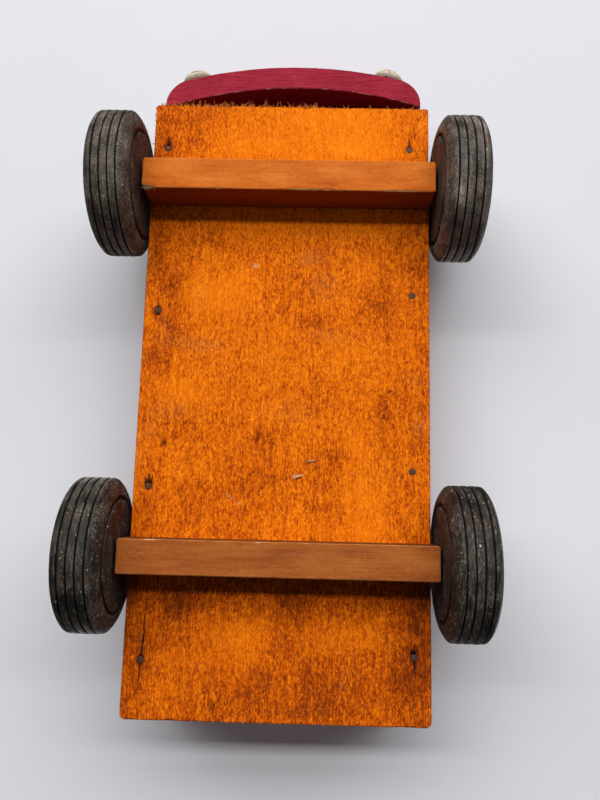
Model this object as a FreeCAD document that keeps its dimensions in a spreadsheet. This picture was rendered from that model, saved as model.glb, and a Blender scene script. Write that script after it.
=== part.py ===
import FreeCAD, Part
import math
import os
import Sketcher
from FreeCAD import Placement, Rotation, Vector

# Wooden toy lorry with an open box body, millimetres.
# Frame: ground at z = 0, +Z up, the nose points along -Y, +X is the lorry's left side.
# The origin is on the ground, under the centre of the bounding box.

os.makedirs("parts", exist_ok=True)
doc = FreeCAD.newDocument("toy_lorry")

# ---------------------------------------------------------------- driving sizes
SIZES = [
    ("frame_shift", 14.09, "all pieces are moved this far back so that the box is centred on the origin"),
    ("axle_height", 37.0, "wheel axis above the ground"),
    # chassis board
    ("board_width", 150.0, "chassis board, across"),
    ("board_length", 321.1, "chassis board, front to back"),
    ("board_thick", 8.0, "chassis board, plywood"),
    ("board_base", 46.0, "underside of the chassis board above the ground"),
    ("board_rear_round", 3.0, "corner radius at the rear"),
    ("board_front_round", 1.2, "corner radius at the front"),
    # box
    ("wall_thick", 10.0, "side boards and end boards"),
    ("wall_height", 44.0, "side boards and end boards above the chassis board"),
    ("wall_centre", 67.0, "middle of a side board from the centre line"),
    ("wall_round", 1.2, "eased top edges"),
    # axle blocks
    ("block_width", 16.7, "axle block, front to back"),
    ("block_height", 21.3, "axle block, top to bottom"),
    ("block_front_half", 75.2, "half the front block's length"),
    ("block_rear_half", 76.1, "half the rear block's length"),
    ("block_front_pos", 109.8, "front block ahead of the board's middle"),
    ("block_rear_pos", 82.5, "rear block behind the board's middle"),
    ("block_round", 1.1, "eased block edges"),
    ("axle_front_back", 1.4, "front axle screws behind the middle of their block"),
    ("axle_rear_back", 0.0, "rear axle screws behind the middle of their block"),
    # wheels
    ("wheel_radius", 37.0, "over the tread"),
    ("wheel_width", 23.4, "over the two hub faces"),
    ("wheel_gap", 1.2, "running gap between the block's end and the wheel, and outside it"),
    ("hub_radius", 26.5, "raised flat disc on each face"),
    ("hub_groove_depth", 1.7, "ring groove between hub and tyre"),
    ("hub_groove_width", 1.5, "ring groove between hub and tyre"),
    ("side_wall_radius", 28.8, "where the tyre's side starts"),
    ("side_wall_inset", 0.5, "tyre side behind the hub face"),
    ("shoulder_radius", 36.6, "outer edge of the tread"),
    ("shoulder_inset", 3.8, "outer edge of the tread behind the hub face"),
    ("shoulder_arc", 10.5, "radius of the rounded shoulder"),
    ("groove_pitch", 4.0, "tread grooves, middle to middle"),
    ("groove_mouth", 0.95, "tread groove, width at the surface"),
    ("groove_floor", 0.4, "tread groove, width at the bottom"),
    ("groove_depth", 1.6, "tread groove"),
    ("bore_clearance", 0.08, "radial clearance of the wheel on its screw"),
    # axle screws and washers
    ("shank_radius", 2.5, "axle screw shank"),
    ("screw_bite", 34.0, "length of screw inside the block"),
    ("screw_tip", 5.0, "length of the screw's point"),
    ("screw_head_radius", 4.8, "round head"),
    ("screw_head_height", 3.4, "round head"),
    ("slot_width", 1.1, "screwdriver slot"),
    ("slot_depth", 1.5, "screwdriver slot"),
    ("washer_radius", 8.0, "steel washer"),
    ("washer_thick", 1.2, "steel washer"),
    # nails
    ("nail_radius", 0.95, "wire of the nail"),
    ("nail_head_radius", 1.7, "nail head"),
    ("nail_head_thick", 0.8, "nail head"),
    ("nail_sink", 0.1, "head below the wood's surface"),
    ("nail_point", 2.6, "length of the nail's point"),
    ("nail_slack", 0.03, "radial slack of the nail holes"),
    ("chassis_nail_length", 32.0, "nails from below into the side boards"),
    ("block_nail_length", 23.0, "nails from the box floor into the blocks"),
    ("wall_nail_length", 28.0, "nails through the side boards into the end boards"),
    ("nose_nail_length", 30.0, "nails through the nose"),
    ("wall_nail_low", 12.0, "lower wall nail above the chassis board"),
    ("wall_nail_high", 33.0, "upper wall nail above the chassis board"),
    # nails along the right edge (-X), from the board's middle; plus is towards the rear
    ("nail_ra_across", -67.4, ""), ("nail_ra_along", -135.05, ""),
    ("nail_rb_across", -67.6, ""), ("nail_rb_along", -43.15, ""),
    ("nail_rc_across", -67.4, ""), ("nail_rc_along", 48.95, ""),
    ("nail_rd_across", -66.3, ""), ("nail_rd_along", 132.95, ""),
    # nails along the left edge (+X)
    ("nail_la_across", 64.6, ""), ("nail_la_along", -136.05, ""),
    ("nail_lb_across", 65.9, ""), ("nail_lb_along", -53.45, ""),
    ("nail_lc_across", 66.0, ""), ("nail_lc_along", 38.75, ""),
    ("nail_ld_across", 66.6, ""), ("nail_ld_along", 128.45, ""),
    # block nails, across
    ("block_nail_fa", -31.0, ""), ("block_nail_fb", 3.0, ""), ("block_nail_fc", 33.0, ""),
    ("block_nail_ra", -34.0, ""), ("block_nail_rb", -2.0, ""), ("block_nail_rc", 30.0, ""),
    # nose
    ("nose_height", 52.0, "nose panel, top to bottom"),
    ("nose_half", 70.7, "half the nose's width"),
    ("nose_half_right", 70.0, "half the nose's width on the right, where it was rounded off a little more"),
    ("nose_out_radius", 228.8, "front face in plan"),
    ("nose_out_across", 3.9, "centre of the front arc"),
    ("nose_out_along", 44.0, "centre of the front arc behind the board's middle"),
    ("nose_in_radius", 220.5, "rear face in plan"),
    ("nose_in_across", 4.4, "centre of the rear arc"),
    ("nose_in_along", 48.8, "centre of the rear arc behind the board's middle"),
    ("nose_corner", 15.0, "rounded front corners in plan"),
    ("nose_corner_right", 15.8, "the right front corner in plan"),
    ("nose_ease", 0.7, "eased rims of the front face"),
    ("plate_height", 12.0, "nose top plate"),
    ("plate_right", -57.0, "right end of the top plate"),
    ("plate_left", 62.0, "left end of the top plate"),
    ("plate_gap", 0.05, "glue line between top plate and nose"),
    ("nose_nail_ra", -24.0, "nose nail, across"),
    ("nose_nail_la", 27.0, "nose nail, across"),
    ("nose_nail_drop", 6.0, "nose nails below the rim"),
    ("nose_nail_seat", 182.3, "floor of the nose nails' recesses ahead of the board's middle"),
    # headlights
    ("lamp_radius", 9.8, "domed nail, across its rim"),
    ("lamp_height", 9.2, "domed nail, rim to crown"),
    ("lamp_rim", 0.9, "straight rim of the dome"),
    ("lamp_shank_radius", 1.3, "shank of the domed nail"),
    ("lamp_shank_length", 10.5, "shank of the domed nail"),
    ("lamp_right", -53.5, "across"),
    ("lamp_left", 52.8, "across"),
    ("lamp_rise", 9.8, "middle of the domes above the nose's lower edge"),
]
sheet = doc.addObject("Spreadsheet::Sheet", "Sizes")
VALUE = {}
for row, (alias, number, note) in enumerate(SIZES, start=1):
    sheet.set("A%d" % row, note or alias.replace("_", " "))
    sheet.set("B%d" % row, str(number))
    sheet.setAlias("B%d" % row, alias)
    VALUE[alias] = float(number)
doc.recompute()


class Q:
    """A number with the spreadsheet expression that gives it."""

    def __init__(self, v, e=None):
        self.v = float(v)
        self.e = e if e is not None else "(%r)" % float(v)

    def __add__(self, o):
        o = o if isinstance(o, Q) else Q(o)
        return Q(self.v + o.v, "(%s + %s)" % (self.e, o.e))

    def __sub__(self, o):
        o = o if isinstance(o, Q) else Q(o)
        return Q(self.v - o.v, "(%s - %s)" % (self.e, o.e))

    def __mul__(self, o):
        o = o if isinstance(o, Q) else Q(o)
        return Q(self.v * o.v, "(%s * %s)" % (self.e, o.e))

    def __truediv__(self, o):
        o = o if isinstance(o, Q) else Q(o)
        return Q(self.v / o.v, "(%s / %s)" % (self.e, o.e))

    def __neg__(self):
        return Q(-self.v, "(0 - %s)" % self.e)


def S(alias):
    return Q(VALUE[alias], "Sizes." + alias)


def q(x):
    return x if isinstance(x, Q) else Q(x)


def root_of(x):
    return Q(math.sqrt(x.v), "sqrt(%s)" % x.e)


ZERO = Q(0, "0")
shift = S("frame_shift")
board_top = S("board_base") + S("board_thick")
rim = board_top + S("wall_height")
wall_out = S("wall_centre") + S("wall_thick") / 2
wall_in = S("wall_centre") - S("wall_thick") / 2
half_len = S("board_length") / 2


# ---------------------------------------------------------------- helpers
def place(obj, x=ZERO, y=ZERO, z=ZERO, rot=None):
    """Give an object its Placement, its position bound to the sheet."""
    x, y, z = q(x), q(y), q(z)
    obj.Placement = Placement(Vector(x.v, y.v, z.v), rot or Rotation())
    for axis, value in (("x", x), ("y", y), ("z", z)):
        obj.setExpression("Placement.Base." + axis, value.e)


def plane(body, role):
    return next(f for f in body.Origin.OriginFeatures if f.Role == role)


def new_body(name):
    body = doc.addObject("PartDesign::Body", name)
    body.Label = name
    return body


def new_sketch(body, name, role, offset=None):
    sk = body.newObject("Sketcher::SketchObject", name)
    sk.AttachmentSupport = [(plane(body, role), "")]
    sk.MapMode = "FlatFace"
    if offset is not None:
        sk.AttachmentOffset = Placement(Vector(0, 0, offset.v), Rotation())
        sk.setExpression("AttachmentOffset.Base.z", offset.e)
    return sk


def pin_point(sk, geo, pos, x, y, tag):
    """Fix a sketch point by its two distances from the sketch's origin."""
    for kind, value, letter in (("DistanceX", x, "x"), ("DistanceY", y, "y")):
        n = sk.addConstraint(Sketcher.Constraint(kind, -1, 1, geo, pos, value.v))
        name = "%s_%s" % (tag, letter)
        sk.renameConstraint(n, name)
        sk.setExpression("Constraints." + name, value.e)


def outline(sk, points, arcs=None, tag="p"):
    """Closed outline through points. arcs maps a side's number to (radius, turn):
    turn is +1 where the arc runs anticlockwise from its first point, -1 where clockwise."""
    arcs = arcs or {}
    pts = [(q(x), q(y)) for x, y in points]
    n = len(pts)
    ids = []
    for i in range(n):
        a = Vector(pts[i][0].v, pts[i][1].v, 0)
        b = Vector(pts[(i + 1) % n][0].v, pts[(i + 1) % n][1].v, 0)
        if i in arcs:
            radius, turn = q(arcs[i][0]), arcs[i][1]
            chord = b - a
            mid = (a + b) * 0.5
            rise = math.sqrt(max(radius.v ** 2 - (chord.Length / 2) ** 2, 0))
            normal = Vector(-chord.y, chord.x, 0).normalize() * turn
            c = mid + normal * rise
            first, last = (a, b) if turn > 0 else (b, a)
            t0 = math.atan2(first.y - c.y, first.x - c.x)
            t1 = math.atan2(last.y - c.y, last.x - c.x)
            if t1 <= t0:
                t1 += 2 * math.pi
            circle = Part.Circle(c, Vector(0, 0, 1), radius.v)
            g = sk.addGeometry(Part.ArcOfCircle(circle, t0, t1), False)
            ids.append((g, 1 if turn > 0 else 2, 2 if turn > 0 else 1, radius))
        else:
            g = sk.addGeometry(Part.LineSegment(a, b), False)
            ids.append((g, 1, 2, None))
    for i in range(n):
        g, start, end, radius = ids[i]
        nxt = ids[(i + 1) % n]
        sk.addConstraint(Sketcher.Constraint("Coincident", g, end, nxt[0], nxt[1]))
    for i in range(n):
        g, start, end, radius = ids[i]
        pin_point(sk, g, start, pts[i][0], pts[i][1], "%s%d" % (tag, i))
    for i in range(n):
        g, start, end, radius = ids[i]
        if radius is not None:
            c = sk.addConstraint(Sketcher.Constraint("Radius", g, radius.v))
            name = "%s%d_arc" % (tag, i)
            sk.renameConstraint(c, name)
            sk.setExpression("Constraints." + name, radius.e)


def circles(sk, centres, radius, tag="c"):
    radius = q(radius)
    for i, (x, y) in enumerate(centres):
        x, y = q(x), q(y)
        g = sk.addGeometry(Part.Circle(Vector(x.v, y.v, 0), Vector(0, 0, 1), radius.v), False)
        pin_point(sk, g, 3, x, y, "%s%d" % (tag, i))
        c = sk.addConstraint(Sketcher.Constraint("Radius", g, radius.v))
        name = "%s%d_size" % (tag, i)
        sk.renameConstraint(c, name)
        sk.setExpression("Constraints." + name, radius.e)


def pad(body, sk, length, name, reverse=False):
    f = body.newObject("PartDesign::Pad", name)
    f.Profile = sk
    f.Length = length.v
    f.setExpression("Length", length.e)
    f.Reversed = reverse
    doc.recompute()
    return f


def cut(body, sk, depth, name, reverse=False):
    """Pocket, with a test that it really takes material away."""
    before = body.Shape.Volume
    f = body.newObject("PartDesign::Pocket", name)
    f.Profile = sk
    f.Length = depth.v
    f.setExpression("Length", depth.e)
    f.Reversed = reverse
    doc.recompute()
    if not body.Shape.Volume < before - 1e-3:
        raise RuntimeError("pocket %s cuts nothing" % name)
    return f


def revolve(body, sk, name, axis="H_Axis"):
    f = body.newObject("PartDesign::Revolution", name)
    f.Profile = sk
    f.ReferenceAxis = (sk, [axis])
    f.Angle = 360.0
    doc.recompute()
    return f


def edges_where(shape, test):
    return ["Edge%d" % (i + 1) for i, e in enumerate(shape.Edges) if test(e)]


def is_line_along(e, d, tol=1e-4):
    if e.Curve.TypeId != "Part::GeomLine":
        return False
    t = (e.lastVertex().Point - e.firstVertex().Point).normalize()
    return abs(abs(t.dot(d)) - 1) < tol


def fillet(body, base, names, radius, name):
    if not names:
        raise RuntimeError("no edges for " + name)
    f = body.newObject("PartDesign::Fillet", name)
    f.Base = (base, names)
    f.Radius = radius.v
    f.setExpression("Radius", radius.e)
    doc.recompute()
    return f


X, Y, Z = Vector(1, 0, 0), Vector(0, 1, 0), Vector(0, 0, 1)
hole_radius = S("nail_radius") + S("nail_slack")
recess_radius = S("nail_head_radius") + S("nail_slack")
recess_depth = S("nail_head_thick") + S("nail_sink")
RIGHT_NAILS = [(S("nail_r%s_across" % k), S("nail_r%s_along" % k)) for k in "abcd"]
LEFT_NAILS = [(S("nail_l%s_across" % k), S("nail_l%s_along" % k)) for k in "abcd"]
front_y = -S("block_front_pos")
rear_y = S("block_rear_pos")
FRONT_BLOCK_NAILS = [S("block_nail_f%s" % k) for k in "abc"]
REAR_BLOCK_NAILS = [S("block_nail_r%s" % k) for k in "abc"]
end_wall_y = half_len - S("wall_thick") / 2
NOSE_NAILS = [S("nose_nail_ra"), S("nose_nail_la")]

# ---------------------------------------------------------------- chassis board
b = new_body("chassis_board")
sk = new_sketch(b, "board_outline", "XY_Plane")
hw, hl = S("board_width") / 2, half_len
rr, fr = S("board_rear_round"), S("board_front_round")
outline(sk, [(-hw + fr, -hl), (hw - fr, -hl), (hw, -hl + fr), (hw, hl - rr),
             (hw - rr, hl), (-hw + rr, hl), (-hw, hl - rr), (-hw, -hl + fr)],
        {1: (fr, 1), 3: (rr, 1), 5: (rr, 1), 7: (fr, 1)})
pad(b, sk, S("board_thick"), "board_pad")
sk = new_sketch(b, "edge_nail_holes", "XY_Plane")
circles(sk, RIGHT_NAILS + LEFT_NAILS, hole_radius)
cut(b, sk, S("board_thick") + 1, "edge_nail_bores", reverse=True)
sk = new_sketch(b, "edge_nail_heads", "XY_Plane")
circles(sk, RIGHT_NAILS + LEFT_NAILS, recess_radius)
cut(b, sk, recess_depth, "edge_nail_recesses", reverse=True)
block_points = [(x, front_y) for x in FRONT_BLOCK_NAILS] + [(x, rear_y) for x in REAR_BLOCK_NAILS]
sk = new_sketch(b, "block_nail_holes", "XY_Plane", S("board_thick"))
circles(sk, block_points, hole_radius)
cut(b, sk, S("board_thick") + 1, "block_nail_bores")
sk = new_sketch(b, "block_nail_heads", "XY_Plane", S("board_thick"))
circles(sk, block_points, recess_radius)
cut(b, sk, recess_depth, "block_nail_recesses")
place(b, ZERO, shift, S("board_base"))
chassis_board = b


# ---------------------------------------------------------------- axle blocks
def axle_block(name, half, along, nails, back):
    """Hardwood bar with a screw hole in each end and blind nail holes in its top face."""
    body = new_body(name)
    w, t, r = S("block_width") / 2, S("block_height"), S("block_round")
    s = new_sketch(body, name + "_section", "YZ_Plane", -half)
    outline(s, [(-w, -t), (w, -t), (w, ZERO), (-w, ZERO)])
    base = pad(body, s, half * 2, name + "_pad")
    # the two long lower edges and the edges round both ends are eased
    names = edges_where(base.Shape, lambda e: (
        (is_line_along(e, X) and e.CenterOfMass.z < -1) or
        (abs(abs(e.CenterOfMass.x) - half.v) < 1e-3 and e.CenterOfMass.z < -1e-3)))
    fillet(body, base, names, r, name + "_eased")
    for side, sign in (("left", 1), ("right", -1)):
        s = new_sketch(body, "%s_bore_%s" % (name, side), "YZ_Plane", half if sign > 0 else -half)
        circles(s, [(back, S("axle_height") - S("board_base"))], S("shank_radius") + S("nail_slack"))
        cut(body, s, S("screw_bite") + 1, "%s_bore_cut_%s" % (name, side), reverse=(sign < 0))
    s = new_sketch(body, name + "_nail_holes", "XY_Plane")
    circles(s, [(x, ZERO) for x in nails], hole_radius)
    cut(body, s, S("block_nail_length") - S("board_thick") + Q(0.6), name + "_nail_bores")
    place(body, ZERO, shift + along, S("board_base"))
    return body


axle_block_front = axle_block("axle_block_front", S("block_front_half"), front_y, FRONT_BLOCK_NAILS, S("axle_front_back"))
axle_block_rear = axle_block("axle_block_rear", S("block_rear_half"), rear_y, REAR_BLOCK_NAILS, S("axle_rear_back"))


# ---------------------------------------------------------------- wheels
def wheel(name, side, half, along):
    """Wheel turned from one blank about X: flat hub disc on both faces, ring groove,
    rounded tyre sides and four grooves in the tread."""
    body = new_body(name)
    s = new_sketch(body, name + "_profile", "XZ_Plane")
    hwid = S("wheel_width") / 2
    bore = S("shank_radius") + S("bore_clearance")
    hub, gd, gw = S("hub_radius"), S("hub_groove_depth"), S("hub_groove_width")
    wall_x, wall_r = hwid - S("side_wall_inset"), S("side_wall_radius")
    sh_x, sh_r = hwid - S("shoulder_inset"), S("shoulder_radius")
    pitch, mouth, floor = S("groove_pitch"), S("groove_mouth") / 2, S("groove_floor") / 2
    tread = S("wheel_radius")
    half_pts = [(sh_x, sh_r)]
    for centre in (pitch * 1.5, pitch * 0.5):
        half_pts += [(centre + mouth, tread - Q(0.05)), (centre + floor, tread - S("groove_depth")),
                     (centre - floor, tread - S("groove_depth")), (centre - mouth, tread)]
    outer = [(hwid, bore), (hwid, hub), (hwid - gd, hub + Q(0.3)), (hwid - gd, hub + gw),
             (wall_x, wall_r)]
    right = outer + half_pts
    left = [(-x, r) for x, r in reversed(right)]
    pts = right + left
    n_outer = len(outer)
    arcs = {n_outer - 1: (S("shoulder_arc"), 1), len(pts) - n_outer - 1 + 0: (S("shoulder_arc"), 1)}
    outline(s, pts, arcs)
    revolve(body, s, name + "_turned")
    out = half + S("wheel_gap") + hwid
    place(body, out if side > 0 else -out, shift + along, S("axle_height"))
    return body


# ---------------------------------------------------------------- axle screws and washers
def axle_screw(name, side, half, along):
    """Round-head wood screw along X, its shoulder against the washer."""
    body = new_body(name)
    s = new_sketch(body, name + "_profile", "XZ_Plane")
    # x = 0 is the underside of the head, the shank runs towards -x
    grip = S("wheel_gap") * 2 + S("wheel_width") + S("washer_thick")
    total = grip + S("screw_bite")
    rs, rh, hh = S("shank_radius"), S("screw_head_radius"), S("screw_head_height")
    dome = (rh * rh + hh * hh) / (hh * 2)
    outline(s, [(-total, ZERO), (hh, ZERO), (ZERO, rh), (ZERO, rs), (-total + S("screw_tip"), rs)],
            {1: (dome, 1)})
    revolve(body, s, name + "_turned")
    s = new_sketch(body, name + "_slot", "YZ_Plane", hh + Q(0.5))
    w, l = S("slot_width") / 2, rh + 1
    outline(s, [(-w, -l), (w, -l), (w, l), (-w, l)])
    cut(body, s, S("slot_depth") + Q(0.5), name + "_slot_cut")
    x = half + grip
    rot = Rotation() if side > 0 else Rotation(Z, 180)
    place(body, x if side > 0 else -x, shift + along, S("axle_height"), rot)
    return body


def axle_washer(name, side, half, along):
    body = new_body(name)
    inner = half + S("wheel_gap") * 2 + S("wheel_width")
    s = new_sketch(body, name + "_ring", "YZ_Plane")
    circles(s, [(ZERO, ZERO)], S("washer_radius"), "out")
    circles(s, [(ZERO, ZERO)], S("shank_radius") + S("bore_clearance"), "bore")
    pad(body, s, S("washer_thick"), name + "_pad")
    x = inner if side > 0 else -inner - S("washer_thick")
    place(body, x, shift + along, S("axle_height"))
    return body


ROLLING = []
for end, half, along in (("front", S("block_front_half"), front_y + S("axle_front_back")),
                         ("rear", S("block_rear_half"), rear_y + S("axle_rear_back"))):
    for side_name, side in (("left", 1), ("right", -1)):
        tag = "%s_%s" % (end, side_name)
        ROLLING.append(wheel("wheel_" + tag, side, half, along))
        ROLLING.append(axle_screw("axle_screw_" + tag, side, half, along))
        ROLLING.append(axle_washer("axle_washer_" + tag, side, half, along))


# ---------------------------------------------------------------- box walls
def side_board(name, side, nails):
    """Full-length side board. Its local x = 0 is the middle of its thickness."""
    body = new_body(name)
    s = new_sketch(body, name + "_outline", "XY_Plane")
    w = S("wall_thick") / 2
    outline(s, [(-w, -half_len), (w, -half_len), (w, half_len), (-w, half_len)])
    base = pad(body, s, S("wall_height"), name + "_pad")
    top = S("wall_height").v
    names = edges_where(base.Shape, lambda e: is_line_along(e, Y) and e.CenterOfMass.z > top - 1e-3)
    fillet(body, base, names, S("wall_round"), name + "_eased")
    centre = S("wall_centre") if side > 0 else -S("wall_centre")
    s = new_sketch(body, name + "_floor_nails", "XY_Plane")
    circles(s, [(x - centre, y) for x, y in nails], hole_radius)
    cut(body, s, S("chassis_nail_length") - S("board_thick") + 1, name + "_floor_bores", reverse=True)
    ends = [(y, z) for y in (-end_wall_y, end_wall_y) for z in (S("wall_nail_low"), S("wall_nail_high"))]
    s = new_sketch(body, name + "_wall_nails", "YZ_Plane", w if side > 0 else -w)
    circles(s, ends, hole_radius)
    cut(body, s, S("wall_thick") + 1, name + "_wall_bores", reverse=(side < 0))
    s = new_sketch(body, name + "_wall_heads", "YZ_Plane", w if side > 0 else -w)
    circles(s, ends, recess_radius)
    cut(body, s, recess_depth, name + "_wall_recesses", reverse=(side < 0))
    place(body, centre, shift, board_top)
    return body


side_board_left = side_board("side_board_left", 1, LEFT_NAILS)
side_board_right = side_board("side_board_right", -1, RIGHT_NAILS)


def end_board(name, along):
    """Cross board between the side boards, with blind nail holes in both ends."""
    body = new_body(name)
    s = new_sketch(body, name + "_outline", "XY_Plane")
    w = S("wall_thick") / 2
    outline(s, [(-wall_in, -w), (wall_in, -w), (wall_in, w), (-wall_in, w)])
    pad(body, s, S("wall_height"), name + "_pad")
    depth = S("wall_nail_length") - S("wall_thick") + 1
    spots = [(ZERO, S("wall_nail_low")), (ZERO, S("wall_nail_high"))]
    for tag, sign in (("left", 1), ("right", -1)):
        s = new_sketch(body, "%s_%s_nails" % (name, tag), "YZ_Plane", wall_in if sign > 0 else -wall_in)
        circles(s, spots, hole_radius)
        cut(body, s, depth, "%s_%s_bores" % (name, tag), reverse=(sign < 0))
    place(body, ZERO, shift + along, board_top)
    return body


tail_board = end_board("tail_board", end_wall_y)
front_board = end_board("front_board", -end_wall_y)
# the nose nails end inside the front board
nose_nail_z = S("wall_height") - S("nose_nail_drop")
sk = new_sketch(front_board, "nose_nail_holes", "XZ_Plane", S("wall_thick") / 2)
circles(sk, [(x, nose_nail_z) for x in NOSE_NAILS], hole_radius)
cut(front_board, sk, S("nose_nail_length") - S("nose_nail_seat") + half_len + Q(0.6), "nose_nail_bores")


# ---------------------------------------------------------------- nose
def arc_front(cx, cy, radius, x):
    """Local y of an arc's front side at a given x: centre minus the half chord."""
    dx = x - cx
    return cy - root_of(radius * radius - dx * dx)


ox, oy, orad = S("nose_out_across"), S("nose_out_along"), S("nose_out_radius")
ix, iy, irad = S("nose_in_across"), S("nose_in_along"), S("nose_in_radius")
nh, nr = S("nose_half"), S("nose_half_right")
front_line = -half_len
# where the rear arc meets the front plane of the box, on the right side
dy = front_line - iy
meet = ix - root_of(irad * irad - dy * dy)
b = new_body("nose_panel")
sk = new_sketch(b, "nose_plan", "XY_Plane")
outline(sk, [(-nr, front_line), (-nr, arc_front(ox, oy, orad, -nr)), (nh, arc_front(ox, oy, orad, nh)),
             (nh, arc_front(ix, iy, irad, nh)), (meet, front_line)],
        {1: (orad, 1), 3: (irad, -1)})
base = pad(b, sk, S("nose_height"), "nose_pad")
names = edges_where(base.Shape, lambda e: is_line_along(e, Z) and e.CenterOfMass.y < -170 and e.CenterOfMass.x > 60)
f = fillet(b, base, names, S("nose_corner"), "nose_corner_left")
names = edges_where(f.Shape, lambda e: is_line_along(e, Z) and e.CenterOfMass.y < -170 and e.CenterOfMass.x < -60)
f = fillet(b, f, names, S("nose_corner_right"), "nose_corner_right")
tall = S("nose_height").v
names = edges_where(f.Shape, lambda e: (e.Curve.TypeId == "Part::GeomCircle" and
                                        abs(e.CenterOfMass.z - (0 if e.CenterOfMass.z < tall / 2 else tall)) < 1e-3
                                        and e.Length > 100 and e.CenterOfMass.y < -177))
fillet(b, f, names, S("nose_ease"), "nose_eased")
nose_nail_up = S("nose_height") - S("nose_nail_drop")
sk = new_sketch(b, "nose_nail_holes", "XZ_Plane", S("nose_nail_seat") + 8)
circles(sk, [(x, nose_nail_up) for x in NOSE_NAILS], hole_radius)
cut(b, sk, Q(40), "nose_nail_bores")
sk = new_sketch(b, "nose_nail_heads", "XZ_Plane", S("nose_nail_seat") + 8)
circles(sk, [(x, nose_nail_up) for x in NOSE_NAILS], recess_radius)
cut(b, sk, Q(8), "nose_nail_recesses")
place(b, ZERO, shift, S("board_base"))
nose_panel = b

# each headlight stands square to the front arc: its angle from -Y, and its seat on the arc
LAMPS = []
for name, alias in (("left", "lamp_left"), ("right", "lamp_right")):
    x = S(alias)
    y = arc_front(ox, oy, orad, x)
    tilt = math.degrees(math.asin((x.v - ox.v) / orad.v))
    LAMPS.append((name, x, y, tilt))

# blind holes for the shanks of the domed nails, drilled square to the arc
for name, x, y, tilt in LAMPS:
    sk = new_sketch(b, "lamp_hole_%s" % name, "XZ_Plane")
    # the sketch plane is turned about Z by the tilt and stands just ahead of the arc
    c, s_ = math.cos(math.radians(tilt)), math.sin(math.radians(tilt))
    sk.AttachmentOffset = Placement(Vector(x.v + 2 * s_, 0, -y.v + 2 * c), Rotation(Y, tilt))
    sk.setExpression("AttachmentOffset.Base.x", (x + Q(2 * s_)).e)
    sk.setExpression("AttachmentOffset.Base.z", (Q(2 * c) - y).e)
    circles(sk, [(ZERO, S("lamp_rise"))], S("lamp_shank_radius") + S("nail_slack"))
    cut(b, sk, S("lamp_shank_length") + Q(2.5), "lamp_bore_%s" % name)

b = new_body("nose_top_plate")
sk = new_sketch(b, "plate_plan", "XY_Plane")
pr, pl = S("plate_right"), S("plate_left")
prad = irad - S("plate_gap")
outline(sk, [(pr, front_line), (pr, arc_front(ix, iy, prad, pr)), (pl, arc_front(ix, iy, prad, pl)), (pl, front_line)],
        {1: (prad, 1)})
pad(b, sk, S("plate_height"), "plate_pad")
sk = new_sketch(b, "nose_nail_holes", "XZ_Plane", S("nose_nail_seat"))
circles(sk, [(x, S("plate_height") - S("nose_nail_drop")) for x in NOSE_NAILS], hole_radius)
cut(b, sk, Q(40), "nose_nail_bores")
place(b, ZERO, shift, rim - S("plate_height"))
nose_top_plate = b


def headlight(name, x, y, tilt):
    """Domed steel nail. Local -Y is outwards, its rim lies on y = 0."""
    body = new_body(name)
    s = new_sketch(body, name + "_profile", "XY_Plane")
    r, hgt, lip = S("lamp_radius"), S("lamp_height"), S("lamp_rim")
    rise = hgt - lip
    dome = (r * r + rise * rise) / (rise * 2)
    sr, sl = S("lamp_shank_radius"), S("lamp_shank_length")
    outline(s, [(ZERO, -hgt), (r, -lip), (r, ZERO), (sr, ZERO), (sr, sl - sr * 2), (ZERO, sl)], {0: (dome, 1)})
    revolve(body, s, name + "_turned", "V_Axis")
    place(body, x, shift + y, S("board_base") + S("lamp_rise"), Rotation(Z, tilt))
    return body


for name, x, y, tilt in LAMPS:
    headlight("headlight_" + name, x, y, tilt)


# ---------------------------------------------------------------- nails
def nail_group(name, length, spots):
    """Identical wire nails as one group. Each spot is (x, y, z, direction): the middle of the
    head's outer face and the way the point goes."""
    made = []
    for i, (x, y, z, way) in enumerate(spots):
        tag = "%s_%d" % (name, i + 1)
        rot = Rotation(Z, way)
        pieces = []
        for kind, sub, at in (("Part::Cylinder", "head", ZERO), ("Part::Cylinder", "wire", S("nail_head_thick")),
                              ("Part::Cone", "point", length - S("nail_point"))):
            o = doc.addObject(kind, "%s_%s" % (tag, sub))
            if sub == "head":
                o.setExpression("Radius", "Sizes.nail_head_radius")
                o.setExpression("Height", "Sizes.nail_head_thick")
            elif sub == "wire":
                o.setExpression("Radius", "Sizes.nail_radius")
                o.setExpression("Height", (length - S("nail_point") - S("nail_head_thick")).e)
            else:
                o.setExpression("Radius1", "Sizes.nail_radius")
                o.setExpression("Radius2", "Sizes.nail_radius * 0.1")
                o.setExpression("Height", "Sizes.nail_point")
            place(o, x + at * way.x, y + at * way.y, z + at * way.z, rot)
            pieces.append(o)
        fuse = doc.addObject("Part::MultiFuse", tag)
        fuse.Shapes = pieces
        made.append(fuse)
    group = doc.addObject("Part::Compound", name)
    group.Links = made
    group.Label = name
    doc.recompute()
    return group


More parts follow.
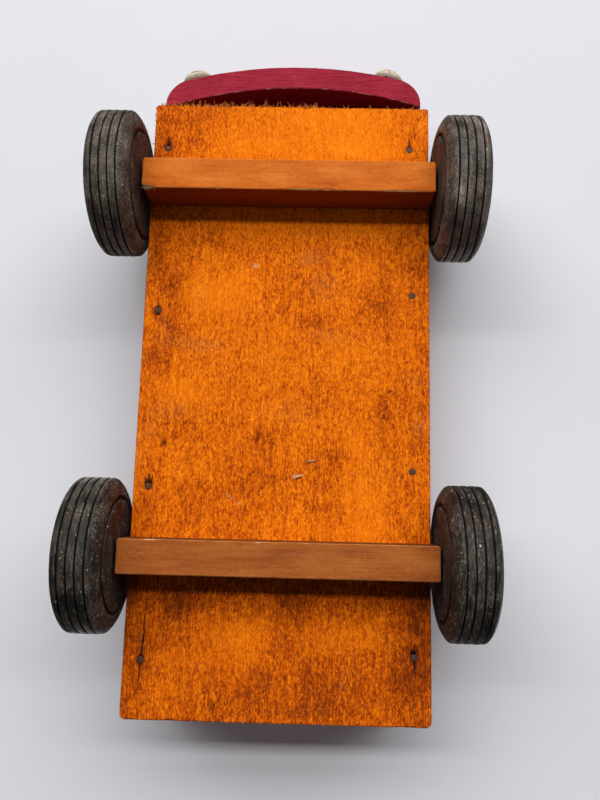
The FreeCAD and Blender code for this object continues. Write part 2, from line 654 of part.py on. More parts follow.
under = S("board_base") + S("nail_sink")
floor_top = board_top - S("nail_sink")
NAILS = [
    nail_group("chassis_nails_left", S("chassis_nail_length"), [(x, shift + y, under, Z) for x, y in LEFT_NAILS]),
    nail_group("chassis_nails_right", S("chassis_nail_length"), [(x, shift + y, under, Z) for x, y in RIGHT_NAILS]),
    nail_group("block_nails_front", S("block_nail_length"),
               [(x, shift + front_y, floor_top, -Z) for x in FRONT_BLOCK_NAILS]),
    nail_group("block_nails_rear", S("block_nail_length"),
               [(x, shift + rear_y, floor_top, -Z) for x in REAR_BLOCK_NAILS]),
]
for name, along in (("tail_board_nails", end_wall_y), ("front_board_nails", -end_wall_y)):
    spots = []
    for zz in (S("wall_nail_low"), S("wall_nail_high")):
        spots.append((wall_out - S("nail_sink"), shift + along, board_top + zz, -X))
        spots.append((S("nail_sink") - wall_out, shift + along, board_top + zz, X))
    NAILS.append(nail_group(name, S("wall_nail_length"), spots))
NAILS.append(nail_group("nose_nails", S("nose_nail_length"),
                        [(x, shift - S("nose_nail_seat") - S("nail_head_thick"), rim - S("nose_nail_drop"), Y)
                         for x in NOSE_NAILS]))

doc.recompute()

# ---------------------------------------------------------------- checks and export
bad = [o.Name for o in doc.Objects if "Invalid" in o.State or "Error" in o.State]
if bad:
    raise RuntimeError("failed objects: " + ", ".join(bad))
NODES = [o for o in doc.Objects if o.TypeId in ("PartDesign::Body", "Part::Compound")]
for o in NODES:
    if o.Shape.isNull() or not o.Shape.isValid():
        raise RuntimeError("bad shape: " + o.Label)
    want = len(o.Links) if o.TypeId == "Part::Compound" else 1
    if len(o.Shape.Solids) != want:
        raise RuntimeError("%s has %d solids" % (o.Label, len(o.Shape.Solids)))
for o in NODES:
    o.Shape.exportStep(os.path.join("parts", o.Label + ".step"))

whole = FreeCAD.BoundBox()
for o in NODES:
    box = o.Shape.optimalBoundingBox(False, False)
    whole.add(box)
print("nodes", len(NODES))
print("box", [round(v, 3) for v in (whole.XMin, whole.XMax, whole.YMin, whole.YMax, whole.ZMin, whole.ZMax)])
for o in NODES:
    print("%-26s %10.1f mm3" % (o.Label, o.Shape.Volume))
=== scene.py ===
import math
import random

import bpy
import numpy as np
from mathutils import Matrix, Quaternion, Vector


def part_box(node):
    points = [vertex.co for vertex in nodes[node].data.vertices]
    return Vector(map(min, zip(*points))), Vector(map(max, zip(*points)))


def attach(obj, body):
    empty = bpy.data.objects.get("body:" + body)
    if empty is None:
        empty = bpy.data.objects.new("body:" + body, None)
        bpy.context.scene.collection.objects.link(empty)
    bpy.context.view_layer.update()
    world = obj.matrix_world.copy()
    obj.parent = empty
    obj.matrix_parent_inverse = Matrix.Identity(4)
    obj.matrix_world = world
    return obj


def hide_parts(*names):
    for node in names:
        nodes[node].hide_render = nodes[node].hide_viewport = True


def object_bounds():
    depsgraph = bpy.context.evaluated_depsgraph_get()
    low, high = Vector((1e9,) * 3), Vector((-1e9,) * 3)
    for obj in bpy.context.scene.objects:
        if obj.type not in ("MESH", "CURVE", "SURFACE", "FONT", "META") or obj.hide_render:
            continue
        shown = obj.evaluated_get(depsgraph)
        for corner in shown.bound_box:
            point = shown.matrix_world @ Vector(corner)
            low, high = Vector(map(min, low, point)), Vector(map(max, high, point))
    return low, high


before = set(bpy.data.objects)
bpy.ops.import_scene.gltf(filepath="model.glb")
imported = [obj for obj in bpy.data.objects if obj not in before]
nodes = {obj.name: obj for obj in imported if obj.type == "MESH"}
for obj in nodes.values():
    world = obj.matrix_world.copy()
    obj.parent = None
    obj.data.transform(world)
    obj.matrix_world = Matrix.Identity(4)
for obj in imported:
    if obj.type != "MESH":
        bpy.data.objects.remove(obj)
cad_lo, cad_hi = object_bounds()
scene = bpy.context.scene
scene.view_settings.view_transform = "Standard"
MM = 0.001


def box_mm(node):
    lo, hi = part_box(node)
    return np.array(lo) * 1000, np.array(hi) * 1000


# ================================================================ seeded noise
def lattice(i, j, k, seed):
    h = (i * 374761393 + j * 668265263 + k * 1442695041 + seed * 1013904223) & 0xFFFFFFFF
    h = ((h ^ (h >> 13)) * 1274126177) & 0xFFFFFFFF
    return ((h ^ (h >> 16)) & 0xFFFF) / 32767.5 - 1.0


def vnoise(p, size, seed):
    """Smooth noise in -1..1 at points p (n, 3); size is the feature size, one number or three."""
    q = np.asarray(p, float) / np.asarray(size, float)
    i = np.floor(q).astype(np.int64)
    f = q - i
    f = f * f * (3 - 2 * f)
    out = 0
    for a in (0, 1):
        for b in (0, 1):
            for c in (0, 1):
                w = (f[:, 0] if a else 1 - f[:, 0]) * (f[:, 1] if b else 1 - f[:, 1]) * (f[:, 2] if c else 1 - f[:, 2])
                out = out + w * lattice(i[:, 0] + a, i[:, 1] + b, i[:, 2] + c, seed)
    return out


def fnoise(p, size, seed, octaves=3):
    out, amp, total = 0, 1.0, 0.0
    size = np.asarray(size, float)
    for o in range(octaves):
        out = out + amp * vnoise(p, size / 2 ** o, seed + 17 * o)
        total += amp
        amp *= 0.55
    return out / total


def smooth01(x, a, b):
    t = np.clip((np.asarray(x, float) - a) / (b - a), 0, 1)
    return t * t * (3 - 2 * t)


# ================================================================ node trees
class Tree:
    """A material's node tree with short calls. Lengths in the calls are millimetres of the object's own space."""

    def __init__(self, name):
        self.mat = bpy.data.materials.new(name)
        self.mat.use_nodes = True
        self.nt = self.mat.node_tree
        self.nt.nodes.clear()
        self.out = self.nt.nodes.new("ShaderNodeOutputMaterial")
        self.shader = self.nt.nodes.new("ShaderNodeBsdfPrincipled")
        self.nt.links.new(self.shader.outputs[0], self.out.inputs["Surface"])
        self.co = self.nt.nodes.new("ShaderNodeTexCoord").outputs["Object"]

    def put(self, socket, value):
        if isinstance(value, bpy.types.NodeSocket):
            self.nt.links.new(value, socket)
        elif value is not None:
            if hasattr(socket.default_value, "__len__"):
                n = len(socket.default_value)
                v = list(value) if hasattr(value, "__len__") else [value] * 3
                socket.default_value = (v + [1.0])[:n] if len(v) < n else v[:n]
            else:
                socket.default_value = value

    def set(self, **kw):
        for k, v in kw.items():
            self.put(self.shader.inputs[k.replace("_", " ")], v)

    def math(self, op, a, b=None, c=None, clamp=False):
        n = self.nt.nodes.new("ShaderNodeMath")
        n.operation = op
        n.use_clamp = clamp
        for s, v in zip(n.inputs, (a, b, c)):
            self.put(s, v)
        return n.outputs[0]

    def place(self, vec=None, scale=(1, 1, 1), loc=(0, 0, 0), rot=(0, 0, 0)):
        n = self.nt.nodes.new("ShaderNodeMapping")
        self.put(n.inputs["Vector"], vec or self.co)
        self.put(n.inputs["Location"], loc)
        self.put(n.inputs["Rotation"], rot)
        self.put(n.inputs["Scale"], scale)
        return n.outputs[0]

    def noise(self, size, detail=3, rough=0.55, seed=0.0, vec=None, warp=0.0):
        """size: feature size in mm, one number or three."""
        s = [size] * 3 if not hasattr(size, "__len__") else size
        v = self.place(vec, scale=[1000.0 / x for x in s], loc=(seed * 13.7 + 0.31, seed * 7.3 + 0.77, seed * 3.1 + 0.13))
        n = self.nt.nodes.new("ShaderNodeTexNoise")
        self.put(n.inputs["Vector"], v)
        self.put(n.inputs["Scale"], 1.0)
        self.put(n.inputs["Detail"], detail)
        self.put(n.inputs["Roughness"], rough)
        self.put(n.inputs["Distortion"], warp)
        return n.outputs[0]

    def cells(self, size, seed=0.0, feature="F1", vec=None, random_=1.0):
        s = [size] * 3 if not hasattr(size, "__len__") else size
        v = self.place(vec, scale=[1000.0 / x for x in s], loc=(seed * 11.3 + 0.2, seed * 5.9 + 0.4, seed * 2.3))
        n = self.nt.nodes.new("ShaderNodeTexVoronoi")
        n.feature = feature
        self.put(n.inputs["Vector"], v)
        self.put(n.inputs["Scale"], 1.0)
        self.put(n.inputs["Randomness"], random_)
        return n.outputs["Distance"]

    def fit(self, v, a, b, c=0.0, d=1.0, smooth=True):
        n = self.nt.nodes.new("ShaderNodeMapRange")
        n.interpolation_type = "SMOOTHSTEP" if smooth else "LINEAR"
        n.clamp = True
        for s, x in zip(n.inputs, (v, a, b, c, d)):
            self.put(s, x)
        return n.outputs[0]

    def ramp(self, fac, stops):
        n = self.nt.nodes.new("ShaderNodeValToRGB")
        e = n.color_ramp.elements
        while len(e) < len(stops):
            e.new(0.5)
        for el, (pos, col) in zip(e, stops):
            el.position = pos
            el.color = (*col, 1.0)
        self.put(n.inputs[0], fac)
        return n.outputs[0]

    def mix(self, fac, a, b, mode="MIX"):
        n = self.nt.nodes.new("ShaderNodeMix")
        n.data_type = "RGBA"
        n.blend_type = mode
        n.clamp_factor = True
        self.put(n.inputs[0], fac)
        self.put(n.inputs[6], a)
        self.put(n.inputs[7], b)
        return n.outputs[2]

    def blend(self, fac, a, b):
        """a + (b - a) * fac for plain numbers."""
        n = self.nt.nodes.new("ShaderNodeMix")
        n.data_type = "FLOAT"
        self.put(n.inputs[0], fac)
        self.put(n.inputs[2], a)
        self.put(n.inputs[3], b)
        return n.outputs[0]

    def xyz(self, vec=None):
        n = self.nt.nodes.new("ShaderNodeSeparateXYZ")
        self.put(n.inputs[0], vec or self.co)
        return n.outputs

    def attr(self, name):
        n = self.nt.nodes.new("ShaderNodeAttribute")
        n.attribute_name = name
        return n.outputs

    def rgb(self, colour):
        n = self.nt.nodes.new("ShaderNodeSeparateColor")
        self.put(n.inputs[0], colour)
        return n.outputs

    def normal(self):
        n = self.nt.nodes.new("ShaderNodeNewGeometry")
        return n.outputs["Normal"]

    def bump(self, height, depth, strength=1.0, below=None):
        """depth: millimetres for a height of 1."""
        n = self.nt.nodes.new("ShaderNodeBump")
        self.put(n.inputs["Strength"], strength)
        self.put(n.inputs["Distance"], depth * MM)
        self.put(n.inputs["Height"], height)
        if below is not None:
            self.put(n.inputs["Normal"], below)
        return n.outputs[0]


def lin(r, g, b):
    """sRGB 0-255 to linear."""
    out = []
    for v in (r, g, b):
        v /= 255.0
        out.append(v / 12.92 if v <= 0.04045 else ((v + 0.055) / 1.055) ** 2.4)
    return tuple(out)


def scaled(c, k):
    return tuple(min(1.0, x * k) for x in c)


# ================================================================ materials
def mat_board_under():
    """Stained plywood face: mottled orange stain with a lengthwise grain, darker blotches, grey rubs, dirt round nails,
    and painted shadow and painted light brought in with the stain channels.
    """
    t = Tree("plywood_stained_face")
    st = t.rgb(t.attr("stain_and_painted_light")["Color"])
    dark, bright, grey = st[0], st[1], st[2]
    ex = t.rgb(t.attr("marks")["Color"])
    soot, pale, crack = ex[0], ex[1], ex[2]
    fine = t.noise((0.85, 1.7, 1.2), detail=4, rough=0.64, seed=1, warp=0.7)
    worm = t.noise((1.7, 3.9, 2.0), detail=3.5, rough=0.66, seed=2, warp=1.5)
    grain = t.noise((0.42, 9.0, 2.0), detail=3, rough=0.6, seed=3)
    broad = t.noise((16, 26, 16), detail=3, rough=0.55, seed=4)
    streak = t.noise((2.2, 60, 8), detail=2, rough=0.5, seed=5)
    # amount of dark stain, with the painted shadow behind the rear block
    a = t.math("MULTIPLY_ADD", t.math("SUBTRACT", fine, 0.5), 1.6, 0.475)
    a = t.math("MULTIPLY_ADD", t.math("SUBTRACT", worm, 0.5), 1.6, a)
    a = t.math("MULTIPLY_ADD", t.math("SUBTRACT", grain, 0.5), 0.75, a)
    a = t.math("MULTIPLY_ADD", t.math("SUBTRACT", streak, 0.5), 0.28, a)
    a = t.math("MULTIPLY_ADD", t.math("SUBTRACT", broad, 0.5), 0.4, a)
    a = t.math("MULTIPLY_ADD", dark, 0.34, a)
    # bright areas are smoother as well
    calm = t.math("MULTIPLY_ADD", bright, -0.42, 1.0, clamp=True)
    a = t.math("MULTIPLY_ADD", t.math("SUBTRACT", a, 0.42), calm, 0.42)
    a = t.math("MULTIPLY_ADD", bright, -0.20, a, clamp=True)
    col = t.ramp(a, [(0.0, lin(252, 148, 26)), (0.25, lin(243, 124, 8)), (0.45, lin(222, 107, 8)), (0.62, lin(194, 85, 8)), (0.8, lin(160, 64, 9)), (1.0, lin(122, 50, 10))])
    # solid dark stain in the middle of the strong blotches, and in the painted shadow band behind the rear block
    col = t.mix(t.fit(dark, 0.6, 1.3, 0, 0.62), col, lin(92, 36, 10))
    rub = t.math("MULTIPLY", grey, t.fit(t.noise((1.6, 2.2, 2), 3, 0.65, 6), 0.32, 0.66), clamp=True)
    col = t.mix(t.math("MULTIPLY", rub, 0.5), col, lin(198, 130, 66))
    # faint pale specks where the stain has worn through
    sp = t.fit(t.cells((3.4, 4.6, 3), 7), 0.05, 0.11, 1, 0)
    col = t.mix(t.math("MULTIPLY", sp, 0.35), col, lin(226, 160, 96))
    col = t.mix(t.math("MULTIPLY", soot, 0.93, clamp=True), col, lin(38, 18, 12))
    col = t.mix(t.math("MULTIPLY", crack, 0.97, clamp=True), col, lin(16, 8, 6))
    col = t.mix(t.math("MULTIPLY", pale, 0.9, clamp=True), col, lin(236, 196, 150))
    edge = t.attr("arris")["Fac"]
    rubbed = t.fit(t.math("ADD", edge, t.math("MULTIPLY", t.noise(3.2, 3, 0.6, 8), 1.6)), 0.65, 1.35, 1, 0)
    col = t.mix(t.math("MULTIPLY", rubbed, 0.5), col, lin(120, 58, 18))
    t.set(Base_Color=col, Roughness=t.fit(a, 0.1, 0.9, 0.72, 0.86), IOR=1.45)
    t.put(t.shader.inputs["Specular IOR Level"], 0.05)
    h = t.math("MULTIPLY_ADD", grain, 0.55, t.math("MULTIPLY", fine, -0.75))
    nb = t.bump(h, 0.10)
    t.put(t.shader.inputs["Normal"], nb)
    return t.mat


def mat_board_edge():
    """Edge of the plywood: plies with glue lines, end grain and long grain in turn, stained."""
    t = Tree("plywood_stained_edge")
    x, y, z = t.xyz()
    wave = t.noise((9, 9, 9), 2, 0.5, 11)
    zz = t.math("MULTIPLY_ADD", wave, 0.00035, z)
    # five plies of 1.6 mm
    ply = t.math("DIVIDE", t.math("SUBTRACT", zz, 0.0461), 0.0016)
    tri = t.math("PINGPONG", ply, 1.0)
    line = t.fit(tri, 0.0, 0.13, 1, 0)
    even = t.fit(t.math("PINGPONG", t.math("ADD", ply, 0.5), 1.0), 0.35, 0.65)
    long_ = t.noise((7.0, 7.0, 0.28), 3, 0.6, 12)
    end = t.noise((0.5, 0.5, 0.5), 3, 0.7, 13)
    f = t.blend(even, long_, end)
    base = t.ramp(f, [(0.25, lin(205, 122, 52)), (0.5, lin(172, 92, 32)), (0.75, lin(118, 58, 20))])
    base = t.mix(t.math("MULTIPLY", even, 0.45), base, lin(104, 52, 20))
    base = t.mix(t.math("MULTIPLY", line, 0.7), base, lin(58, 26, 10))
    dirt = t.fit(t.noise((11, 11, 5), 4, 0.62, 14), 0.42, 0.7)
    base = t.mix(t.math("MULTIPLY", dirt, 0.6), base, lin(74, 38, 18))
    red = t.fit(t.math("MULTIPLY_ADD", t.noise((14, 14, 6), 3, 0.6, 15), 0.004, z), 0.0545, 0.0562)
    base = t.mix(red, base, lin(120, 24, 34))
    t.set(Base_Color=base, Roughness=0.8)
    t.put(t.shader.inputs["Specular IOR Level"], 0.12)
    h = t.math("MULTIPLY_ADD", line, -1.0, t.math("MULTIPLY", f, 0.6))
    t.put(t.shader.inputs["Normal"], t.bump(h, 0.16))
    return t.mat


def mat_board_top():
    """The box floor: the same stain, rubbed and dusty from use."""
    t = Tree("plywood_stained_floor")
    grain = t.noise((0.5, 14.0, 3.0), 4, 0.6, 21)
    broad = t.noise((24, 40, 20), 4, 0.6, 22)
    fine = t.noise(1.3, 3, 0.6, 23)
    a = t.math("MULTIPLY_ADD", t.math("SUBTRACT", grain, 0.5), 1.3, 0.5)
    a = t.math("MULTIPLY_ADD", t.math("SUBTRACT", broad, 0.5), 1.1, a)
    a = t.math("MULTIPLY_ADD", t.math("SUBTRACT", fine, 0.5), 0.4, a, clamp=True)
    col = t.ramp(a, [(0.1, lin(214, 132, 58)), (0.45, lin(178, 94, 30)), (0.75, lin(128, 62, 20)), (1.0, lin(84, 42, 18))])
    x, y, z = t.xyz()
    ax = t.math("ABSOLUTE", x)
    # painted shade: darker within about 4 to 16 mm of the walls, along their joins with the floor
    near = t.math("MAXIMUM", t.math("SUBTRACT", ax, 0.062), t.math("SUBTRACT", t.math("ABSOLUTE", t.math("SUBTRACT", y, 0.0134)), 0.150))
    corner = t.fit(t.math("MULTIPLY_ADD", t.noise(8, 3, 0.6, 24), -0.012, near), -0.016, -0.004)
    col = t.mix(t.math("MULTIPLY", corner, 0.75), col, lin(62, 36, 20))
    scratch = t.fit(t.noise((0.25, 30, 1), 1, 0.5, 25, vec=t.place(rot=(0, 0, 0.35))), 0.66, 0.72)
    scratch2 = t.fit(t.noise((0.3, 22, 1), 1, 0.5, 26, vec=t.place(rot=(0, 0, -0.9))), 0.68, 0.74)
    sc = t.math("ADD", scratch, scratch2, clamp=True)
    col = t.mix(t.math("MULTIPLY", sc, 0.45), col, lin(226, 176, 112))
    dust = t.fit(t.noise((20, 20, 5), 5, 0.7, 27), 0.5, 0.72)
    col = t.mix(t.math("MULTIPLY", dust, 0.28), col, lin(170, 156, 138))
    t.set(Base_Color=col, Roughness=t.blend(dust, 0.6, 0.85))
    t.put(t.shader.inputs["Specular IOR Level"], 0.2)
    h = t.math("MULTIPLY_ADD", sc, -0.6, grain)
    t.put(t.shader.inputs["Normal"], t.bump(h, 0.14))
    return t.mat


def mat_block(name, stops, streak_col, streak, seed, side_shade):
    """Varnished cross block: grain along its length, short pores, rubbed arrises, dirtier ends."""
    t = Tree(name)
    grain = t.noise((26, 0.62, 0.62), 4, 0.62, seed, warp=0.25)
    fine = t.noise((4.5, 0.26, 0.26), 3, 0.6, seed + 1)
    broad = t.noise((30, 7, 9), 3, 0.55, seed + 2)
    mott = t.noise((0.9, 1.1, 1.1), 4, 0.65, seed + 9)
    a = t.math("MULTIPLY_ADD", t.math("SUBTRACT", grain, 0.5), 0.42, 0.42)
    a = t.math("MULTIPLY_ADD", t.math("SUBTRACT", fine, 0.5), 0.4, a)
    a = t.math("MULTIPLY_ADD", t.math("SUBTRACT", mott, 0.5), 0.55, a)
    a = t.math("MULTIPLY_ADD", t.math("SUBTRACT", broad, 0.5), 0.75, a, clamp=True)
    col = t.ramp(a, stops)
    pores = t.fit(t.noise((1.8, 0.17, 0.17), 2, 0.5, seed + 3), 0.66, 0.73)
    col = t.mix(t.math("MULTIPLY", pores, 0.5), col, scaled(stops[-1][1], 0.45))
    pink = t.fit(t.noise((22, 2.4, 2.4), 3, 0.6, seed + 4), 0.5, 0.68)
    col = t.mix(t.math("MULTIPLY", pink, streak), col, streak_col)
    edge = t.attr("arris")["Fac"]
    rub = t.fit(t.math("ADD", edge, t.math("MULTIPLY", t.noise((6, 2, 2), 3, 0.65, seed + 5), 1.7)), 0.85, 1.45, 1, 0)
    col = t.mix(t.math("MULTIPLY", rub, 0.42), col, lin(214, 148, 84))
    chip = t.attr("chip")["Fac"]
    col = t.mix(t.fit(chip, 0.25, 0.7, 0, 0.85), col, lin(218, 176, 122))
    # painted shade: faces other than the underside are darkened as shaded faces
    n = t.xyz(t.normal())
    side = t.fit(n[2], -0.75, -0.35)
    col = t.mix(t.math("MULTIPLY", side, side_shade), col, scaled(stops[-1][1], 0.62))
    ends = t.fit(t.math("ABSOLUTE", n[0]), 0.6, 0.9)
    endg = t.noise((0.6, 0.6, 0.6), 3, 0.7, seed + 6)
    col = t.mix(t.math("MULTIPLY", ends, 0.7), col, t.ramp(endg, [(0.3, scaled(stops[1][1], 0.6)), (0.7, scaled(stops[-1][1], 0.5))]))
    t.set(Base_Color=col, Roughness=t.fit(broad, 0.3, 0.7, 0.6, 0.76))
    t.put(t.shader.inputs["Specular IOR Level"], 0.12)
    h = t.math("MULTIPLY_ADD", fine, 0.5, t.math("MULTIPLY_ADD", pores, -0.7, grain))
    t.put(t.shader.inputs["Normal"], t.bump(h, 0.1))
    return t.mat


def mat_paint(name, base, dark, light, along, seed, wear=1.0, bare=(lin(196, 128, 66), lin(140, 82, 38)), floor_z=None):
    """Brushed oil paint on wood. along: feature sizes of the brush streaks. Worn through to the wood on the arrises."""
    t = Tree(name)
    brush = t.noise(along, 4, 0.62, seed, warp=0.2)
    finest = t.noise([x * 0.45 for x in along], 3, 0.6, seed + 1)
    broad = t.noise((19, 19, 15), 4, 0.6, seed + 2)
    a = t.math("MULTIPLY_ADD", t.math("SUBTRACT", brush, 0.5), 1.5, 0.5)
    a = t.math("MULTIPLY_ADD", t.math("SUBTRACT", finest, 0.5), 1.1, a)
    a = t.math("MULTIPLY_ADD", t.math("SUBTRACT", broad, 0.5), 0.6, a, clamp=True)
    col = t.ramp(a, [(0.12, dark), (0.5, base), (0.9, light)])
    scuffn = t.noise((13, 13, 9), 5, 0.72, seed + 3)
    scuff = t.fit(scuffn, 0.58, 0.74)
    col = t.mix(t.math("MULTIPLY", scuff, 0.35), col, scaled(light, 1.25))
    # small fly-specks and dirt
    dots = t.fit(t.cells(5.2, seed + 4), 0.045, 0.085, 1, 0)
    dots = t.math("MULTIPLY", dots, t.fit(t.noise(15, 2, 0.5, seed + 5), 0.5, 0.62))
    col = t.mix(t.math("MULTIPLY", dots, 0.7), col, lin(48, 18, 16))
    edge = t.attr("arris")["Fac"]
    e2 = t.math("MULTIPLY_ADD", t.noise((5.5, 5.5, 5.5), 4, 0.68, seed + 6), 3.4, edge)
    chips = t.fit(e2, 1.55, 1.75, wear, 0)
    halo = t.fit(e2, 1.6, 2.5, wear * 0.55, 0)
    woodg = t.noise([x * 0.8 for x in along], 3, 0.6, seed + 7)
    wood = t.ramp(woodg, [(0.3, bare[0]), (0.7, bare[1])])
    col = t.mix(halo, col, scaled(dark, 0.7))
    col = t.mix(chips, col, wood)
    spots = t.fit(t.noise((4.2, 4.2, 4.2), 5, 0.75, seed + 8), 0.705, 0.73)
    spots = t.math("MULTIPLY", spots, wear)
    col = t.mix(spots, col, wood)
    if floor_z is not None:
        x, y, z = t.xyz()
        # painted shade along the foot of the boards, where they meet the board they stand on
        low = t.fit(t.math("MULTIPLY_ADD", t.noise(7, 4, 0.6, seed + 9), -0.009, z), floor_z - 0.004, floor_z + 0.004, 1, 0)
        col = t.mix(t.math("MULTIPLY", low, 0.5), col, lin(60, 28, 22))
    gone = t.math("MAXIMUM", chips, spots)
    rough = t.blend(gone, t.fit(a, 0.1, 0.9, 0.38, 0.54), 0.78)
    # the sawn lower edges have soaked the paint up and stay matt
    under = t.fit(t.xyz(t.normal())[2], -0.85, -0.5, 1, 0)
    rough = t.blend(under, rough, 0.85)
    t.set(Base_Color=col, Roughness=rough)
    t.put(t.shader.inputs["Specular IOR Level"], 0.15)
    h = t.math("MULTIPLY_ADD", gone, -1.6, t.math("MULTIPLY_ADD", finest, 0.35, brush))
    t.put(t.shader.inputs["Normal"], t.bump(h, 0.09))
    return t.mat


def mat_wheel(name, seed, brown=0.0, grey=0.5, painted_light_tone=1.0):
    """Black-stained turned wheel: dusty rubbed ribs, brown film; near-black painted shade in the grooves and the bore,
    pale specks that are painted glints, and an overall tone that is painted light. The wheel's own axis is X.
    """
    t = Tree(name)
    gr = t.attr("groove")["Fac"]      # 1 in the grooves
    rim = t.attr("ribedge")["Fac"]    # 1 on the ribs' edges and shoulders
    hub = t.attr("hub")["Fac"]        # 1 on the hub discs
    around = t.noise((0.55, 7.5, 7.5), 4, 0.62, seed)
    cloud = t.noise((9, 13, 13), 5, 0.66, seed + 1)
    fine = t.noise(0.8, 4, 0.66, seed + 2)
    patch = t.fit(t.noise((6, 10, 10), 4, 0.62, seed + 3), 0.46, 0.66)
    a = t.math("MULTIPLY_ADD", t.math("SUBTRACT", cloud, 0.5), 1.9, 0.45)
    a = t.math("MULTIPLY_ADD", t.math("SUBTRACT", around, 0.5), 0.75, a)
    a = t.math("MULTIPLY_ADD", t.math("SUBTRACT", fine, 0.5), 1.3, a)
    a = t.math("MULTIPLY_ADD", rim, 0.16, a, clamp=True)
    # the tone factor scales the whole colour: painted light, lighter on the front wheels and darker on the rear ones
    col = t.ramp(a, [(p_, scaled(c_, painted_light_tone)) for p_, c_ in ((0.05, lin(30, 27, 25)), (0.35, lin(48, 43, 40)), (0.6, lin(74, 67, 62)), (0.8, lin(104, 96, 89)), (1.0, lin(150, 140, 128)))])
    scour = t.fit(t.noise((0.32, 4.2, 4.2), 4, 0.7, seed + 9), 0.5, 0.68)
    rubbed = t.math("MULTIPLY", scour, t.fit(cloud, 0.36, 0.6))
    col = t.mix(t.math("MULTIPLY", rubbed, 0.62), col, lin(146, 136, 124))
    dusty = t.math("MULTIPLY", patch, t.fit(fine, 0.4, 0.62))
    col = t.mix(t.math("MULTIPLY", dusty, grey), col, lin(128, 118, 104))
    tan = t.fit(t.noise((5, 15, 15), 4, 0.6, seed + 4), 0.53, 0.68)
    col = t.mix(t.math("MULTIPLY", tan, 0.42 + brown), col, lin(92, 64, 44))
    col = t.mix(t.math("MULTIPLY", hub, 0.75), col, t.ramp(a, [(0.2, lin(27, 24, 24)), (0.8, lin(56, 49, 47))]))
    # painted glints: pale specks and flakes on the black wheel
    speck_glints = t.fit(t.cells(2.6, seed + 5), 0.10, 0.19, 1, 0)
    speck_glints = t.math("MULTIPLY", speck_glints, t.fit(t.noise((4, 9, 9), 4, 0.65, seed + 6), 0.47, 0.56))
    flake = t.math("MULTIPLY", t.fit(t.noise((0.5, 0.9, 0.9), 4, 0.7, seed + 10), 0.555, 0.64), t.fit(t.noise((4, 11, 11), 4, 0.65, seed + 11), 0.49, 0.58))
    big_speck_glints = t.fit(t.cells(7.5, seed + 7), 0.05, 0.085, 1, 0)
    speck_glints = t.math("MAXIMUM", t.math("MAXIMUM", t.math("MULTIPLY", speck_glints, 0.65), t.math("MULTIPLY", flake, 0.7)), big_speck_glints)
    col = t.mix(t.math("MULTIPLY", speck_glints, 0.8), col, lin(196, 186, 164))
    # painted shade: near black in the grooves, the ring groove on the face and the bore
    groove_shade = t.fit(gr, 0.15, 0.75)
    col = t.mix(t.math("MULTIPLY", groove_shade, 0.93), col, lin(14, 12, 12))
    t.set(Base_Color=col, Roughness=t.fit(a, 0.1, 0.9, 0.56, 0.8))
    t.put(t.shader.inputs["Specular IOR Level"], 0.26)
    pits = t.fit(t.cells(1.5, seed + 8), 0.1, 0.3, -1, 0)
    h = t.math("MULTIPLY_ADD", fine, 0.8, t.math("MULTIPLY_ADD", pits, 0.4, around))
    t.put(t.shader.inputs["Normal"], t.bump(h, 0.16))
    return t.mat


def mat_dome(name, seed):
    """Nickelled steel dome, dulled: mottled dark and pale film, brown spots, a brown line at the rim."""
    t = Tree(name)
    rim = t.attr("rim")["Fac"]
    grime = t.noise((1.6, 1.6, 1.6), 5, 0.68, seed)
    fine = t.noise(0.45, 3, 0.6, seed + 1)
    a = t.math("MULTIPLY_ADD", t.math("SUBTRACT", grime, 0.5), 2.3, 0.5)
    a = t.math("MULTIPLY_ADD", t.math("SUBTRACT", fine, 0.5), 1.0, a, clamp=True)
    # the dome is shaded as a non-metal, and its pale, near-white mottling is painted reflection standing in for the
    # steel's shine, over a real mottled film
    col = t.ramp(a, [(0.12, lin(92, 76, 62)), (0.34, lin(170, 150, 126)), (0.56, lin(224, 204, 178)), (1.0, lin(252, 244, 230))])
    rr = t.fit(t.math("MULTIPLY_ADD", t.math("SUBTRACT", grime, 0.5), 0.5, rim), 0.84, 1.04)
    col = t.mix(t.math("MULTIPLY", rr, 0.75), col, lin(62, 50, 44))
    spots = t.fit(t.noise(2.4, 4, 0.7, seed + 2), 0.62, 0.68)
    col = t.mix(t.math("MULTIPLY", spots, 0.6), col, lin(74, 56, 42))
    t.set(Base_Color=col, Metallic=0.0, Roughness=t.fit(a, 0.1, 0.9, 0.62, 0.4))
    t.put(t.shader.inputs["Normal"], t.bump(t.math("ADD", grime, fine), 0.05))
    return t.mat


def mat_iron(name, seed, cols, rust, metal=0.6):
    """Nail iron: grey with a brown bloom, or mostly rust."""
    t = Tree(name)
    a = t.noise(0.55, 4, 0.65, seed)
    b = t.noise(1.5, 3, 0.6, seed + 1)
    col = t.ramp(a, [(0.25, cols[0]), (0.55, cols[1]), (0.8, cols[2])])
    bl = t.fit(b, 0.62 - rust * 0.4, 0.78 - rust * 0.35)
    col = t.mix(bl, col, t.ramp(a, [(0.3, lin(52, 24, 14)), (0.7, lin(104, 54, 28))]))
    t.set(Base_Color=col, Metallic=metal, Roughness=t.fit(a, 0.2, 0.8, 0.5, 0.8))
    t.put(t.shader.inputs["Normal"], t.bump(a, 0.08))
    return t.mat


